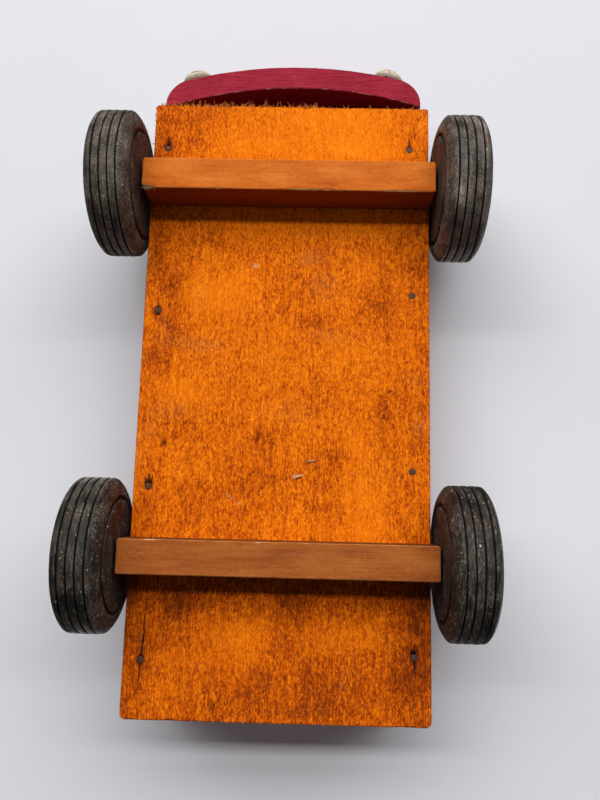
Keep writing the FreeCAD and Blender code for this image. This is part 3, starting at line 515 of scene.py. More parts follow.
def mat_screw(name, seed):
    """Plated steel screw and washer, scratched, with brown patches."""
    t = Tree(name)
    turned = t.noise((2.0, 0.5, 0.5), 3, 0.6, seed)
    b = t.noise(2.2, 4, 0.66, seed + 1)
    col = t.ramp(turned, [(0.25, lin(126, 120, 112)), (0.55, lin(170, 165, 156)), (0.8, lin(204, 200, 190))])
    rust = t.fit(b, 0.5, 0.7)
    col = t.mix(t.math("MULTIPLY", rust, 0.75), col, lin(96, 58, 36))
    t.set(Base_Color=col, Metallic=0.85, Roughness=t.blend(rust, 0.34, 0.7))
    t.put(t.shader.inputs["Normal"], t.bump(t.math("ADD", turned, b), 0.05))
    return t.mat


def mat_fibre(name, seed, a, b):
    t = Tree(name)
    n = t.noise((0.5, 0.5, 0.9), 3, 0.6, seed)
    pick = t.noise(2.6, 1, 0.5, seed + 1)
    col = t.ramp(pick, [(0.35, a), (0.62, b)])
    col = t.mix(t.fit(n, 0.4, 0.7, 0, 0.5), col, scaled(a, 0.45))
    t.set(Base_Color=col, Roughness=0.85)
    t.put(t.shader.inputs["Specular IOR Level"], 0.15)
    t.put(t.shader.inputs["Normal"], t.bump(n, 0.05))
    return t.mat


# ================================================================ mesh building
def make(name, verts_mm, faces, mats, body="root", replaces=(), face_mat=None, attrs=None, colours=None, flat=False):
    me = bpy.data.meshes.new(name)
    v = np.asarray(verts_mm, np.float64) * MM
    me.from_pydata([tuple(x) for x in v.tolist()], [], [tuple(int(i) for i in f) for f in faces])
    for m in mats:
        me.materials.append(m)
    if face_mat is not None:
        me.polygons.foreach_set("material_index", np.asarray(face_mat, np.int32))
    me.polygons.foreach_set("use_smooth", [not flat] * len(me.polygons))
    for k, val in (attrs or {}).items():
        a = me.attributes.new(k, "FLOAT", "POINT")
        a.data.foreach_set("value", np.asarray(val, np.float32))
    for k, val in (colours or {}).items():
        a = me.attributes.new(k, "FLOAT_COLOR", "POINT")
        c = np.ones((len(v), 4), np.float32)
        c[:, :3] = val
        a.data.foreach_set("color", c.ravel())
    me.validate()
    me.update()
    o = bpy.data.objects.new(name, me)
    scene.collection.objects.link(o)
    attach(o, body)
    if replaces:
        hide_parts(*replaces)
    return o


def lines(lo, hi, step, rnd, zone_lo=0.0, zone_hi=0.0, extra=()):
    """Grid lines from lo to hi: fine inside the rounding rnd and inside the corner zones, else about step apart."""
    pts = {lo, hi}
    for r in (rnd, max(zone_lo, rnd)):
        for k in range(0, 5):
            pts.add(lo + r * (1 - math.tan(math.radians(45.0 * k / 4))))
    for r in (rnd, max(zone_hi, rnd)):
        for k in range(0, 5):
            pts.add(hi - r * (1 - math.tan(math.radians(45.0 * k / 4))))
    a, b = lo + max(rnd, zone_lo), hi - max(rnd, zone_hi)
    n = max(1, int(math.ceil((b - a) / step)))
    pts.update(np.linspace(a, b, n + 1).tolist())
    pts.update(x for x in extra if a < x < b)
    out = []
    for x in sorted(pts):
        if not out or x - out[-1] > 0.06:
            out.append(x)
        elif x == hi:
            out[-1] = hi
    return np.array(out)


def grid_box(X, Y, Z):
    """Closed quad shell over a lattice box. Returns vertices, faces and each face's side 0..5 (-x +x -y +y -z +z)."""
    nx, ny, nz = len(X), len(Y), len(Z)
    quads, sides = [], []

    def add(i, j, k, du, dv, flip, side):
        a = np.stack([i, j, k], -1).reshape(-1, 3)
        c = [a, a + du, a + du + dv, a + dv]
        if flip:
            c = c[::-1]
        quads.append(np.stack([(q[:, 0] * ny + q[:, 1]) * nz + q[:, 2] for q in c], 1))
        sides.append(np.full(len(a), side))

    ex, ey, ez = np.eye(3, dtype=int)
    for side, k in ((4, 0), (5, nz - 1)):
        i, j = np.meshgrid(np.arange(nx - 1), np.arange(ny - 1), indexing="ij")
        add(i, j, np.full_like(i, k), ex, ey, side == 4, side)
    for side, i0 in ((0, 0), (1, nx - 1)):
        j, k = np.meshgrid(np.arange(ny - 1), np.arange(nz - 1), indexing="ij")
        add(np.full_like(j, i0), j, k, ey, ez, side == 0, side)
    for side, j0 in ((2, 0), (3, ny - 1)):
        i, k = np.meshgrid(np.arange(nx - 1), np.arange(nz - 1), indexing="ij")
        add(i, np.full_like(i, j0), k, ez, ex, side == 2, side)
    q = np.concatenate(quads)
    codes, inv = np.unique(q, return_inverse=True)
    faces = inv.reshape(q.shape)
    i, r = np.divmod(codes, ny * nz)
    j, k = np.divmod(r, nz)
    return np.stack([X[i], Y[j], Z[k]], 1), faces, np.concatenate(sides)


def arris_distance(p, lo, hi):
    """How far each point of a box's skin is from the nearest arris, in mm."""
    d = np.minimum(p - lo, hi - p)
    return np.sort(d, axis=1)[:, 1]


def rounded(p, lo, hi, r):
    r = np.asarray(r, float)
    rr = r[:, None] if r.ndim else r
    c = np.clip(p, lo + rr, hi - rr)
    d = p - c
    L = np.linalg.norm(d, axis=1, keepdims=True)
    on = L[:, 0] > 1e-9
    out = p.copy()
    out[on] = (c + d / np.maximum(L, 1e-9) * (rr if r.ndim else r))[on]
    return out


def round_plan(p, lo, hi, radii):
    """Rounds the upright corners in plan. radii: (-x-y, +x-y, -x+y, +x+y)."""
    out = p.copy()
    for (sx, sy), R in zip(((-1, -1), (1, -1), (-1, 1), (1, 1)), radii):
        cx = lo[0] + R if sx < 0 else hi[0] - R
        cy = lo[1] + R if sy < 0 else hi[1] - R
        dx, dy = (out[:, 0] - cx) * sx, (out[:, 1] - cy) * sy
        m = (dx > 0) & (dy > 0)
        L = np.hypot(dx[m], dy[m])
        k = np.maximum(dx[m], dy[m]) / np.maximum(L, 1e-9)
        out[m, 0] = cx + sx * dx[m] * k
        out[m, 1] = cy + sy * dy[m] * k
    return out


def board(name, node, mats, step=2.5, rnd=0.8, plan=(0, 0, 0, 0), seed=1, wear=0.12, wave=0.05, side_mat=None):
    """A worn board in place of a CAD board: eased, slightly uneven arrises with rubbed and knocked places, nearly flat faces."""
    lo, hi = box_mm(node)
    R = max(plan)
    X = lines(lo[0], hi[0], step, rnd, R, R)
    Y = lines(lo[1], hi[1], step, rnd, R, R)
    Z = lines(lo[2], hi[2], min(step, 2.0), rnd)
    p, faces, side = grid_box(X, Y, Z)
    dist = arris_distance(p, lo, hi)
    ctr = (lo + hi) / 2
    q = rounded(p, lo, hi, rnd)
    if R:
        q = round_plan(q, lo, hi, plan)
    inward = (ctr - q) / np.maximum(np.linalg.norm(ctr - q, axis=1, keepdims=True), 1e-6)
    box_in = np.sign(ctr - q) * (np.minimum(p - lo, hi - p) < 0.9 * rnd)
    knocks = smooth01(fnoise(q, 9.0, seed, 3), 0.15, 0.65) * np.exp(-((dist / 1.3) ** 2))
    ripple = (0.5 + 0.5 * fnoise(q, (14, 14, 14), seed + 5, 2))
    q = q + box_in * (wear * knocks + 0.3 * wear * ripple * np.exp(-((dist / 1.6) ** 2)))[:, None]
    # the faces sink a little and unevenly, never out of the board's own box
    face_in = box_in * (np.minimum(p - lo, hi - p) < 1e-6)
    q = q + face_in * (wave * (0.5 + 0.5 * fnoise(q, (34, 34, 20), seed + 9, 2)) * smooth01(dist, 0.0, 3.0))[:, None]
    fm = None
    if side_mat is not None:
        fm = [side_mat.get(int(s), 0) for s in side]
    return make(name, q, faces, mats, "root", (node,), face_mat=fm, attrs={"arris": np.minimum(dist, 12)})


def lathe(profile, segs, axis="x", centre=(0, 0, 0), closed=False, wobble=None, attrs=None):
    """profile: list of (along, radius). A radius of 0 at an open profile's end makes a pole. Normals face outwards when the
    profile runs with the solid on its left in the (along, radius) half plane... the caller picks the order."""
    prof = np.asarray(profile, float)
    n = len(prof)
    ang = np.linspace(0, 2 * math.pi, segs, endpoint=False)
    verts, faces, ids, owner = [], [], [], []
    for i, (a, r) in enumerate(prof):
        if r < 1e-9:
            ids.append([len(verts)])
            verts.append((a, 0.0, 0.0))
            owner.append(i)
        else:
            start = len(verts)
            ids.append(list(range(start, start + segs)))
            for t in ang:
                verts.append((a, r * math.cos(t), r * math.sin(t)))
                owner.append(i)
    last = n if closed else n - 1
    for i in range(last):
        A, B = ids[i], ids[(i + 1) % n]
        for s in range(segs):
            s2 = (s + 1) % segs
            if len(A) == 1:
                faces.append((A[0], B[s2], B[s]))
            elif len(B) == 1:
                faces.append((A[s], A[s2], B[0]))
            else:
                faces.append((A[s], A[s2], B[s2], B[s]))
    v = np.array(verts)
    owner = np.array(owner)
    if wobble is not None:
        v = wobble(v, owner)
    at = {k: np.asarray(val, float)[owner] for k, val in (attrs or {}).items()}
    return v, faces, at


def turn(v, axis_dir, at):
    """Lays a lathe made along +X so that +X becomes axis_dir, then moves it to at (mm)."""
    q = Vector((1, 0, 0)).rotation_difference(Vector(axis_dir).normalized())
    m = np.array(q.to_matrix())
    return v @ m.T + np.asarray(at, float)


def merge(parts):
    """parts: list of (verts, faces, attrs). One mesh."""
    V, F, A, n = [], [], {}, 0
    for v, f, a in parts:
        V.append(v)
        F += [tuple(i + n for i in face) for face in f]
        for k, val in a.items():
            A.setdefault(k, []).append(val)
        n += len(v)
    return np.concatenate(V), F, {k: np.concatenate(x) for k, x in A.items()}


def strand(points, radius, sides=4, tip=0.25):
    """A tapered fibre through points (mm), closed at both ends."""
    P = np.asarray(points, float)
    n = len(P)
    tang = np.gradient(P, axis=0)
    tang /= np.maximum(np.linalg.norm(tang, axis=1, keepdims=True), 1e-9)
    ref = np.array([0.31, 0.53, 0.79])
    verts, faces = [], []
    for i in range(n):
        u = np.cross(tang[i], ref)
        u /= np.linalg.norm(u)
        w = np.cross(tang[i], u)
        k = radius * (1 - (1 - tip) * i / (n - 1))
        for s in range(sides):
            a = 2 * math.pi * s / sides
            verts.append(P[i] + k * (math.cos(a) * u + math.sin(a) * w))
    for i in range(n - 1):
        for s in range(sides):
            s2 = (s + 1) % sides
            faces.append((i * sides + s, i * sides + s2, (i + 1) * sides + s2, (i + 1) * sides + s))
    faces.append(tuple(range(sides))[::-1])
    faces.append(tuple((n - 1) * sides + s for s in range(sides)))
    return np.array(verts), faces, {}


def offset_outline(P, d):
    """Moves a closed counter-clockwise outline inwards by d (mm), one number or one per point, along mitred normals."""
    P = np.asarray(P, float)
    e = np.roll(P, -1, 0) - P
    e /= np.maximum(np.linalg.norm(e, axis=1, keepdims=True), 1e-12)
    n_in = np.stack([-e[:, 1], e[:, 0]], 1)
    a = n_in + np.roll(n_in, 1, 0)
    a /= np.maximum(np.linalg.norm(a, axis=1, keepdims=True), 1e-9)
    cosh = np.maximum((a * n_in).sum(1), 0.45)
    return P + a * (np.asarray(d, float) / cosh)[..., None]


def extrude(outline, z0, z1, rnd, zstep, rings=(0.9, 2.0), uneven=0.3, seed=3, size=7.0):
    """A closed solid from a counter-clockwise plan outline (mm), with eased, slightly uneven rims. Returns verts, faces
    and attrs (arris: distance from the rim along the skin)."""
    P = np.asarray(outline, float)
    n = len(P)
    P3 = np.concatenate([P, np.full((n, 1), z0)], 1)
    r_lo = rnd * (1 + uneven * fnoise(P3, size, seed, 3))
    r_hi = rnd * (1 + uneven * fnoise(P3 + 50, size, seed + 1, 3))
    rows, dist = [], []

    def ring(d, z, a):
        xy = offset_outline(P, d)
        zz = np.broadcast_to(np.asarray(z, float), (n,))
        rows.append(np.concatenate([xy, zz[:, None]], 1))
        dist.append(np.full(n, a))

    ring(r_lo + rings[1], z0, rnd + rings[1])
    ring(r_lo + rings[0], z0, rnd + rings[0])
    ring(r_lo + 0.15, z0, 0.5)
    for k in range(0, 5):
        t = math.radians(90.0 * k / 4)
        ring(r_lo * (1 - math.sin(t)), z0 + r_lo * (1 - math.cos(t)), 0.0)
    ring(np.zeros(n), z0 + r_lo + 0.15, 0.4)
    ring(np.zeros(n), z0 + rnd * 1.5 + rings[0], rnd + rings[0])
    m = max(2, int((z1 - z0) / zstep))
    zs = np.linspace(z0 + rnd + rings[1] + 1.0, z1 - rnd - rings[1] - 1.0, m)
    for z in zs:
        ring(np.zeros(n), z, min(z - z0, z1 - z, 12.0))
    ring(np.zeros(n), z1 - rnd * 1.5 - rings[0], rnd + rings[0])
    ring(np.zeros(n), z1 - r_hi - 0.15, 0.4)
    for k in range(4, -1, -1):
        t = math.radians(90.0 * k / 4)
        ring(r_hi * (1 - math.sin(t)), z1 - r_hi * (1 - math.cos(t)), 0.0)
    ring(r_hi + 0.15, z1, 0.5)
    ring(r_hi + rings[0], z1, rnd + rings[0])
    ring(r_hi + rings[1], z1, rnd + rings[1])
    R = len(rows)
    faces = []
    for i in range(R - 1):
        for s in range(n):
            s2 = (s + 1) % n
            faces.append((i * n + s, i * n + s2, (i + 1) * n + s2, (i + 1) * n + s))
    faces.append(tuple(range(n))[::-1])
    faces.append(tuple((R - 1) * n + s for s in range(n)))
    return np.concatenate(rows), faces, {"arris": np.concatenate(dist)}


def clear_corners(P, corners, d=3.2):
    """Drops the outline points that crowd a sharp corner, so that the inset rings don't cross there."""
    keep = np.ones(len(P), bool)
    for c in corners:
        r = np.hypot(P[:, 0] - c[0], P[:, 1] - c[1])
        keep &= (r > d) | (r < 1e-6)
    return P[keep]


def arc(centre, radius, a0, a1, step=1.2):
    """Points on an arc, angles in radians, both ends included."""
    n = max(3, int(abs(a1 - a0) * radius / step) + 1)
    t = np.linspace(a0, a1, n)
    return np.stack([centre[0] + radius * np.cos(t), centre[1] + radius * np.sin(t)], 1)


def clusters(node, axes, reach=4.0):
    """Lowest and highest corner of each separate piece of a CAD node, told apart by its place across the two given
    axes.
    """
    co = np.array([v.co for v in nodes[node].data.vertices], float) * 1000
    left, found = co, []
    while len(left):
        d = np.linalg.norm(left[:, axes] - left[0, axes], axis=1)
        got = left[d < reach]
        found.append((got.min(0), got.max(0)))
        left = left[d >= reach]
    return sorted(found, key=lambda f: tuple(f[0].round(2)))


# ================================================================ the materials, once
M_UNDER, M_EDGE, M_TOP = mat_board_under(), mat_board_edge(), mat_board_top()
M_BLOCK_F = mat_block("hardwood_front", [(0.1, lin(230, 134, 44)), (0.42, lin(208, 106, 26)), (0.7, lin(176, 78, 18)), (1.0, lin(120, 48, 14))],
                      lin(214, 120, 60), 0.25, 31, 0.62)
M_BLOCK_R = mat_block("hardwood_rear", [(0.1, lin(190, 112, 50)), (0.42, lin(164, 88, 34)), (0.7, lin(132, 64, 26)), (1.0, lin(84, 38, 16))],
                      lin(172, 100, 62), 0.35, 41, 0.62)
CRIMSON, CRIMSON_D, CRIMSON_L = lin(157, 35, 55), lin(122, 22, 39), lin(178, 54, 71)
M_NOSE = mat_paint("nose_paint", CRIMSON, CRIMSON_D, CRIMSON_L, (11.0, 0.55, 0.9), 51, wear=0.55, bare=(lin(214, 138, 128), lin(176, 92, 84)))
M_BOX_SIDE = mat_paint("box_paint_side", CRIMSON, CRIMSON_D, CRIMSON_L, (1.2, 16.0, 0.8), 61, floor_z=0.056)
M_BOX_END = mat_paint("box_paint_end", CRIMSON, CRIMSON_D, CRIMSON_L, (14.0, 1.2, 0.8), 71, floor_z=0.056)
M_DOME = [mat_dome("dome_steel_a", 81), mat_dome("dome_steel_b", 86)]
M_NAIL = mat_iron("nail_steel", 91, (lin(48, 38, 34), lin(80, 66, 58), lin(112, 98, 88)), 0.4, 0.4)
M_RUST = mat_iron("nail_rust", 95, (lin(26, 15, 12), lin(50, 28, 20), lin(82, 52, 38)), 0.85, 0.2)
M_SCREW = mat_screw("screw_steel", 101)
M_FIBRE = mat_fibre("torn_fibre", 111, lin(244, 126, 36), lin(250, 164, 84))
M_FIBRE_D = mat_fibre("torn_fibre_dark", 115, lin(190, 84, 22), lin(222, 130, 56))
M_SPLINTER = mat_fibre("splinter", 119, lin(150, 138, 84), lin(206, 192, 140))
# per wheel: name, seed, brown film, dust, tone; the tone is painted light, lighter on the front wheels and much darker
# on the rear ones
M_WHEEL = [mat_wheel("wheel_black_%s" % n, s, b, g, k) for n, s, b, g, k in
           (("fl", 121, 0.14, 0.8, 1.75), ("fr", 131, 0.0, 0.7, 1.12), ("rl", 141, -0.2, 0.12, 0.3), ("rr", 151, -0.2, 0.16, 0.38))]

# ================================================================ chassis board
nail_spots = []          # (x, y) of the heads seen on the underside, with the kind of dirt round them
for node in ("chassis_nails_left", "chassis_nails_right"):
    for lo_, hi_ in clusters(node, [0, 1]):
        nail_spots.append(((lo_[0] + hi_[0]) / 2, (lo_[1] + hi_[1]) / 2, node.endswith("right")))

# stain marks on the underside: x, y, half sizes across and along, turn in degrees, strength
DARK = [(-59.9, -43.6, 7.1, 9.1, 0, 0.80), (-59.7, -20.7, 4.6, 15.2, 0, 0.50), (-67.2, -3.9, 7.1, 4.6, 0, 0.50), (-31.6, -67.0, 11.2, 6.1, 0, 0.42),
        (-44.7, -71.2, 8.1, 4.6, 0, 0.30), (15.2, -25.5, 12.7, 6.6, 0, 0.50), (-0.7, -32.2, 2.0, 4.6, 0, 0.85), (20.1, -44.6, 7.1, 6.1, 0, 0.40),
        (49.1, -39.2, 11.2, 11.2, 0, 0.45), (63.2, -55.4, 2.0, 2.0, 0, 0.50), (65.8, -24.3, 2.0, 2.0, 0, 0.55), (70.6, -59.4, 2.5, 7.1, 0, 0.50),
        (-46.2, -12.9, 12.2, 3.0, 8, 0.35), (51.5, 20.3, 4.6, 7.1, 8, 0.95), (-9.0, 37.1, 8.1, 7.1, 0, 0.55), (-12.2, 34.6, 2.0, 4.1, 0, 0.80),
        (29.3, 43.9, 8.1, 3.0, 5, 0.55), (-52.7, 33.0, 12.7, 7.6, 0, 0.35), (-41.0, 63.2, 15.2, 6.1, 0, 0.55), (-11.9, 56.5, 10.2, 10.2, 0, 0.50),
        (13.7, 51.8, 12.7, 6.6, 0, 0.40), (-45.4, 76.2, 15.2, 6.1, 0, 0.50), (19.7, 70.2, 15.2, 4.6, 0, 0.35), (-60.5, 40.4, 1.7, 2.0, 0, 0.80),
        (68.3, 35.4, 4.1, 6.1, 0, 0.45), (-48.7, 118.6, 7.6, 6.1, 0, 0.85), (-52.3, 124.8, 6.6, 4.6, 0, 0.50), (-55.8, 134.3, 13.2, 6.6, 0, 0.45),
        (7.4, 117.6, 9.1, 7.1, 0, 0.50), (9.0, 126.0, 7.1, 5.1, 0, 0.50), (2.5, 136.5, 9.1, 6.1, 0, 0.35), (-5.0, 144.6, 10.2, 3.6, -42, 0.50),
        (-9.1, 153.5, 9.1, 5.6, 0, 0.45), (-14.6, 162.3, 10.2, 4.6, -30, 0.50), (14.6, 153.3, 11.2, 10.2, 0, 0.50), (14.9, 167.0, 22.3, 5.1, 0, 0.55),
        (60.8, 150.7, 13.2, 13.2, 0, 0.60), (34.8, 155.1, 15.2, 9.6, 0, 0.42), (-49.0, 150.0, 1.2, 5.6, 0, 0.50), (67.1, 126.4, 3.0, 6.6, 0, 0.75),
        (-45.2, -142.7, 7.1, 3.0, 0, 0.50), (-61.7, -140.1, 7.1, 3.6, 0, 0.35), (-7.6, -142.2, 6.1, 2.5, 0, 0.40), (61.6, -132.6, 12.2, 11.2, 0, 0.28),
        (48.4, -145.4, 15.2, 3.0, 0, 0.30), (-69.5, -131.0, 5.1, 12.2, 0, 0.30), (-68.5, -63.5, 4.1, 15.2, 0, 0.45), (72.0, -6.3, 2.5, 20.3, 0, 0.30),
        (-74.0, 117.8, 4.1, 20.3, 0, 0.50), (-71.5, 164.4, 4.1, 12.2, 0, 0.40), (69.5, 114.1, 7.1, 8.1, 0, 0.45), (71.9, 137.5, 3.6, 20.3, 0, 0.50),
        (-66.0, 68.8, 4.1, 15.2, 0, 0.30)]
BRIGHT = [(-44.3, -40.6, 11.2, 8.1, 0, 0.60), (-30.4, -36.5, 14.2, 14.2, 0, 0.40), (41.6, -51.7, 7.1, 7.1, 0, 0.50), (-56.0, 10.2, 15.2, 9.1, 0, 0.35),
          (42.7, 70.1, 8.1, 24.4, 0, 0.65), (29.9, 82.8, 17.3, 3.6, 0, 0.50), (37.4, 39.6, 4.6, 11.2, 0, 0.50), (-20.2, 130.6, 18.3, 8.6, 0, 0.60),
          (-19.7, 143.2, 19.3, 10.2, 0, 0.50), (36.5, 132.4, 18.3, 6.6, 0, 0.65), (-50.5, 149.1, 4.6, 8.1, 0, 0.40), (-50.5, 159.2, 10.2, 6.6, 0, 0.40),
          (19.9, -141.4, 20.3, 4.6, 0, 0.40), (-18.1, -124.2, 13.2, 4.6, 0, 0.70), (32.2, -125.0, 20.3, 5.1, 0, 0.40), (23.4, -5.3, 30.5, 10.2, 0, 0.30),
          (-6.9, -8.9, 10.2, 15.2, 0, 0.30), (-43.3, 14.6, 20.3, 7.1, 0, 0.40), (-28.8, -36.5, 8.1, 22.3, 0, 0.30), (58.0, -14.0, 8.1, 12.2, 0, 0.25)]
GREY = [(12.3, -60.0, 6.1, 3.6, -8, 0.90), (20.0, -45.7, 7.6, 6.6, 0, 0.50), (-46.2, -12.3, 12.7, 3.6, 8, 0.70), (70.3, 28.7, 4.1, 5.1, 0, 0.70),
        (-58.4, 22.8, 10.2, 4.6, 0, 0.50), (-69.1, 33.9, 4.1, 3.0, 0, 0.70), (31.9, 154.7, 1.3, 1.3, 0, 1.00), (33.8, 149.1, 1.1, 1.1, 0, 1.00),
        (-44.7, -36.2, 2.5, 5.1, 0, 0.40), (23.1, -18.1, 13.2, 4.1, 0, 0.35), (3.3, 22.4, 10.2, 5.1, 0, 0.35), (-63.8, -17.9, 2.5, 9.1, 0, 0.40),
        (-72.5, 46.3, 2.5, 8.1, 0, 0.35), (68.9, 4.3, 5.1, 4.1, 0, 0.35)]
# cracks and cuts: x0, y0, x1, y1, width, depth (mm), pale (1: a fresh pale cut, 0: a dark crack)
CRACKS = [(-67.4, -123.4, -67.2, -129.2, 0.75, 0.55, 0), (-66.6, -123.0, -65.9, -126.4, 0.45, 0.4, 0),
          (-67.7, -28.2, -67.5, -34.6, 0.9, 0.5, 0),
          (-67.2, 60.0, -67.3, 55.6, 0.7, 0.5, 0), (-66.4, 60.4, -65.6, 57.0, 0.5, 0.4, 0), (-68.3, 60.6, -69.0, 57.6, 0.4, 0.35, 0),
          (-66.2, 144.6, -65.4, 136.0, 0.8, 0.6, 0), (-65.4, 137.0, -65.2, 123.3, 0.4, 0.4, 0), (-66.4, 148.0, -66.6, 156.0, 0.35, 0.25, 0),
          (64.4, -125.0, 64.5, -128.6, 0.6, 0.4, 0), (66.4, 139.6, 67.0, 135.0, 0.7, 0.5, 0), (67.0, 140.0, 68.3, 137.2, 0.45, 0.35, 0),
          (66.7, 143.4, 67.0, 148.8, 0.6, 0.4, 0), (65.9, 139.6, 65.2, 137.2, 0.4, 0.3, 0),
          (6.6, 55.4, 10.8, 54.2, 0.6, 0.3, 1), (7.2, 56.3, 10.0, 55.6, 0.5, 0.5, 0), (13.2, 47.4, 16.8, 46.8, 0.28, 0.15, 1), (13.4, 48.0, 16.8, 47.6, 0.5, 0.4, 0),
          (-27.2, 65.0, -19.6, 70.4, 0.10, 0.05, 1), (-17.8, -55.9, -16.0, -55.2, 0.6, 0.2, 1),
          (-60.5, 39.2, -60.4, 41.6, 0.7, 0.3, 0), (54.0, 10.4, 59.4, 14.0, 0.25, 0.1, 0),
          (-30.0, 165.2, -28.8, 170.4, 0.4, 0.2, 0), (58.4, -96.0, 58.6, -88.0, 0.4, 0.15, 0)]


def blots(x, y, rows):
    out = np.zeros(len(x))
    for bx, by, rx, ry, deg, a in rows:
        c, s = math.cos(math.radians(deg)), math.sin(math.radians(deg))
        u = ((x - bx) * c + (y - by) * s) / rx
        v = (-(x - bx) * s + (y - by) * c) / ry
        out = out + a * np.exp(-0.9 * (u * u + v * v) ** 1.15)
    return out


def near_segment(x, y, seg):
    x0, y0, x1, y1 = seg[:4]
    dx, dy = x1 - x0, y1 - y0
    t = np.clip(((x - x0) * dx + (y - y0) * dy) / (dx * dx + dy * dy), 0, 1)
    return np.hypot(x - x0 - t * dx, y - y0 - t * dy), t


b_lo, b_hi = box_mm("chassis_board")
# the marks above were laid out with the board's rear end at y = 173.389
DY = b_hi[1] - 173.389
MID = (b_lo[1] + b_hi[1]) / 2
DARK, BRIGHT, GREY = ([(r_[0], r_[1] + DY, *r_[2:]) for r_ in rows] for rows in (DARK, BRIGHT, GREY))
CRACKS = [(c[0], c[1] + DY, c[2], c[3] + DY, *c[4:]) for c in CRACKS]
RND = 0.55
ex_x, ex_y = set(), set()
for nx_, ny_, _ in nail_spots:
    ex_x.update(np.arange(nx_ - 3.2, nx_ + 3.3, 0.4).round(3).tolist())
    ex_y.update(np.arange(ny_ - 6.5, ny_ + 4.6, 0.5).round(3).tolist())
ex_x.update(np.arange(6.0, 17.6, 0.5).tolist())
ex_y.update(np.arange(46.0, 57.2, 0.4).tolist())
BX = lines(b_lo[0], b_hi[0], 1.25, RND, 3.0, 3.0, ex_x)
BY = lines(b_lo[1], b_hi[1], 1.25, RND, 1.2, 3.0, ex_y)
BZ = lines(b_lo[2], b_hi[2], 0.9, RND)
p, faces, side = grid_box(BX, BY, BZ)
dist = arris_distance(p, b_lo, b_hi)
x, y, z = p.T
q = round_plan(rounded(p, b_lo, b_hi, RND), b_lo, b_hi, (1.2, 1.2, 3.0, 3.0))
under = z < b_lo[2] + 1e-6
flat2 = np.stack([x, y, np.zeros_like(x)], 1)
rise = np.zeros(len(p))                       # into the wood, on the underside
soot, pale, crack = np.zeros(len(p)), np.zeros(len(p)), np.zeros(len(p))
for i, (nx_, ny_, rusty) in enumerate(nail_spots):
    d = np.hypot(x - nx_, y - ny_)
    rise += 0.22 * np.exp(-((d / 2.3) ** 2)) + 0.25 * smooth01(d, 2.0, 1.75)
    soot += (0.85 if rusty else 0.55) * np.exp(-((d / (2.3 if rusty else 2.05)) ** 4))
for c in CRACKS:
    d, t = near_segment(x + 0.22 * vnoise(flat2, 1.6, 77), y, c)
    w = c[4] * (1 - 0.75 * t) + 0.08
    k = np.exp(-((d / w) ** 2))
    rise += c[5] * k * (1 - 0.6 * t)
    if c[6]:
        pale += 0.9 * k
    else:
        crack += 0.9 * k
        soot += 0.5 * np.exp(-((d / (w * 2.2)) ** 2)) * (1 - 0.5 * t)
rise += 0.05 * (0.5 + 0.5 * fnoise(flat2, (24, 40, 1), 71, 2))                      # not quite flat
rise += 0.035 * (0.5 + 0.5 * fnoise(flat2, (2.2, 9, 1), 73, 2))                     # raised grain
torn = smooth01(fnoise(flat2 * [1, 0.2, 1], (1.6, 6, 1), 79, 2), 0.0, 0.6)            # torn saw edge across the grain
front_edge = np.exp(-(((y - b_lo[1]) / 1.5) ** 2))
rear_edge = np.exp(-(((b_hi[1] - y) / 1.2) ** 2))
rise += 0.55 * torn * (front_edge * smooth01(x, 60, 20) + 0.75 * rear_edge)
soot += 0.35 * torn * (front_edge + 0.6 * rear_edge)
q[under, 2] += rise[under]
# upright edges: saw marks and small knocks, inwards only
inx = np.sign((b_lo[0] + b_hi[0]) / 2 - q[:, 0]) * (np.minimum(x - b_lo[0], b_hi[0] - x) < RND * 0.9)
iny = np.sign((b_lo[1] + b_hi[1]) / 2 - q[:, 1]) * (np.minimum(y - b_lo[1], b_hi[1] - y) < RND * 0.9)
saw = 0.10 * (0.5 + 0.5 * fnoise(p, (2.0, 2.0, 5), 83, 2)) + 0.16 * smooth01(fnoise(p, (7, 7, 4), 85, 3), 0.1, 0.7) * (z < b_lo[2] + 2)
q[:, 0] += inx * saw
q[:, 1] += iny * saw * 1.2
dk = np.clip(blots(x, y, DARK) * (0.8 + 0.35 * fnoise(flat2, 6, 87, 3)), 0, 1.5)
br = np.clip(blots(x, y, BRIGHT), 0, 1)
gy = np.clip(blots(x, y, GREY), 0, 1)
# darker towards the rear and near both long edges, with a stronger band just behind the rear block that is painted
# shadow of that block; brighter in front of the first block, and the lift just behind that block is painted light over
# its cast shadow
tail_ = smooth01(y, 96, 112)
dk = dk * (1 - 0.2 * tail_) + 0.36 * tail_ + 0.55 * tail_ * smooth01(y, 128, 104) + 0.14 * smooth01(np.abs(x), 52, 72)
dk = dk + 0.10 * smooth01(y, -104, -116) * smooth01(x, 6, -30)
br = np.clip(br + 0.24 * smooth01(y, -100, -112) * smooth01(x, -30, 10) + 0.5 * smooth01(y, -62, -78) * smooth01(np.abs(x - 10), 62, 40), 0, 1)
fm = np.where(side == 4, 0, np.where(side == 5, 2, 1))
chassis = make("chassis_board_worn", q, faces, [M_UNDER, M_EDGE, M_TOP], "root", ("chassis_board",), face_mat=fm,
               attrs={"arris": np.minimum(dist, 12)},
               colours={"stain_and_painted_light": np.stack([np.clip(dk, 0, 2), br, gy], 1), "marks": np.clip(np.stack([soot, pale, crack], 1), 0, 1)})

# torn fibres along the sawn ends and the edges
rng = random.Random(20)


def curl(base, way, length, bend, drop, n=6):
    """Points of a bent fibre from base, going along way (unit, mm), turning sideways by bend and towards -Z by drop."""
    base, way = np.array(base, float), np.array(way, float)
    sidew = np.array([-way[1], way[0], 0.0])
    pts = []
    for i in range(n):
        t = i / (n - 1)
        pts.append(base + way * length * t + sidew * length * bend * t * t + np.array([0, 0, -1.0]) * drop * t * (1.2 - 0.4 * t))
    return pts


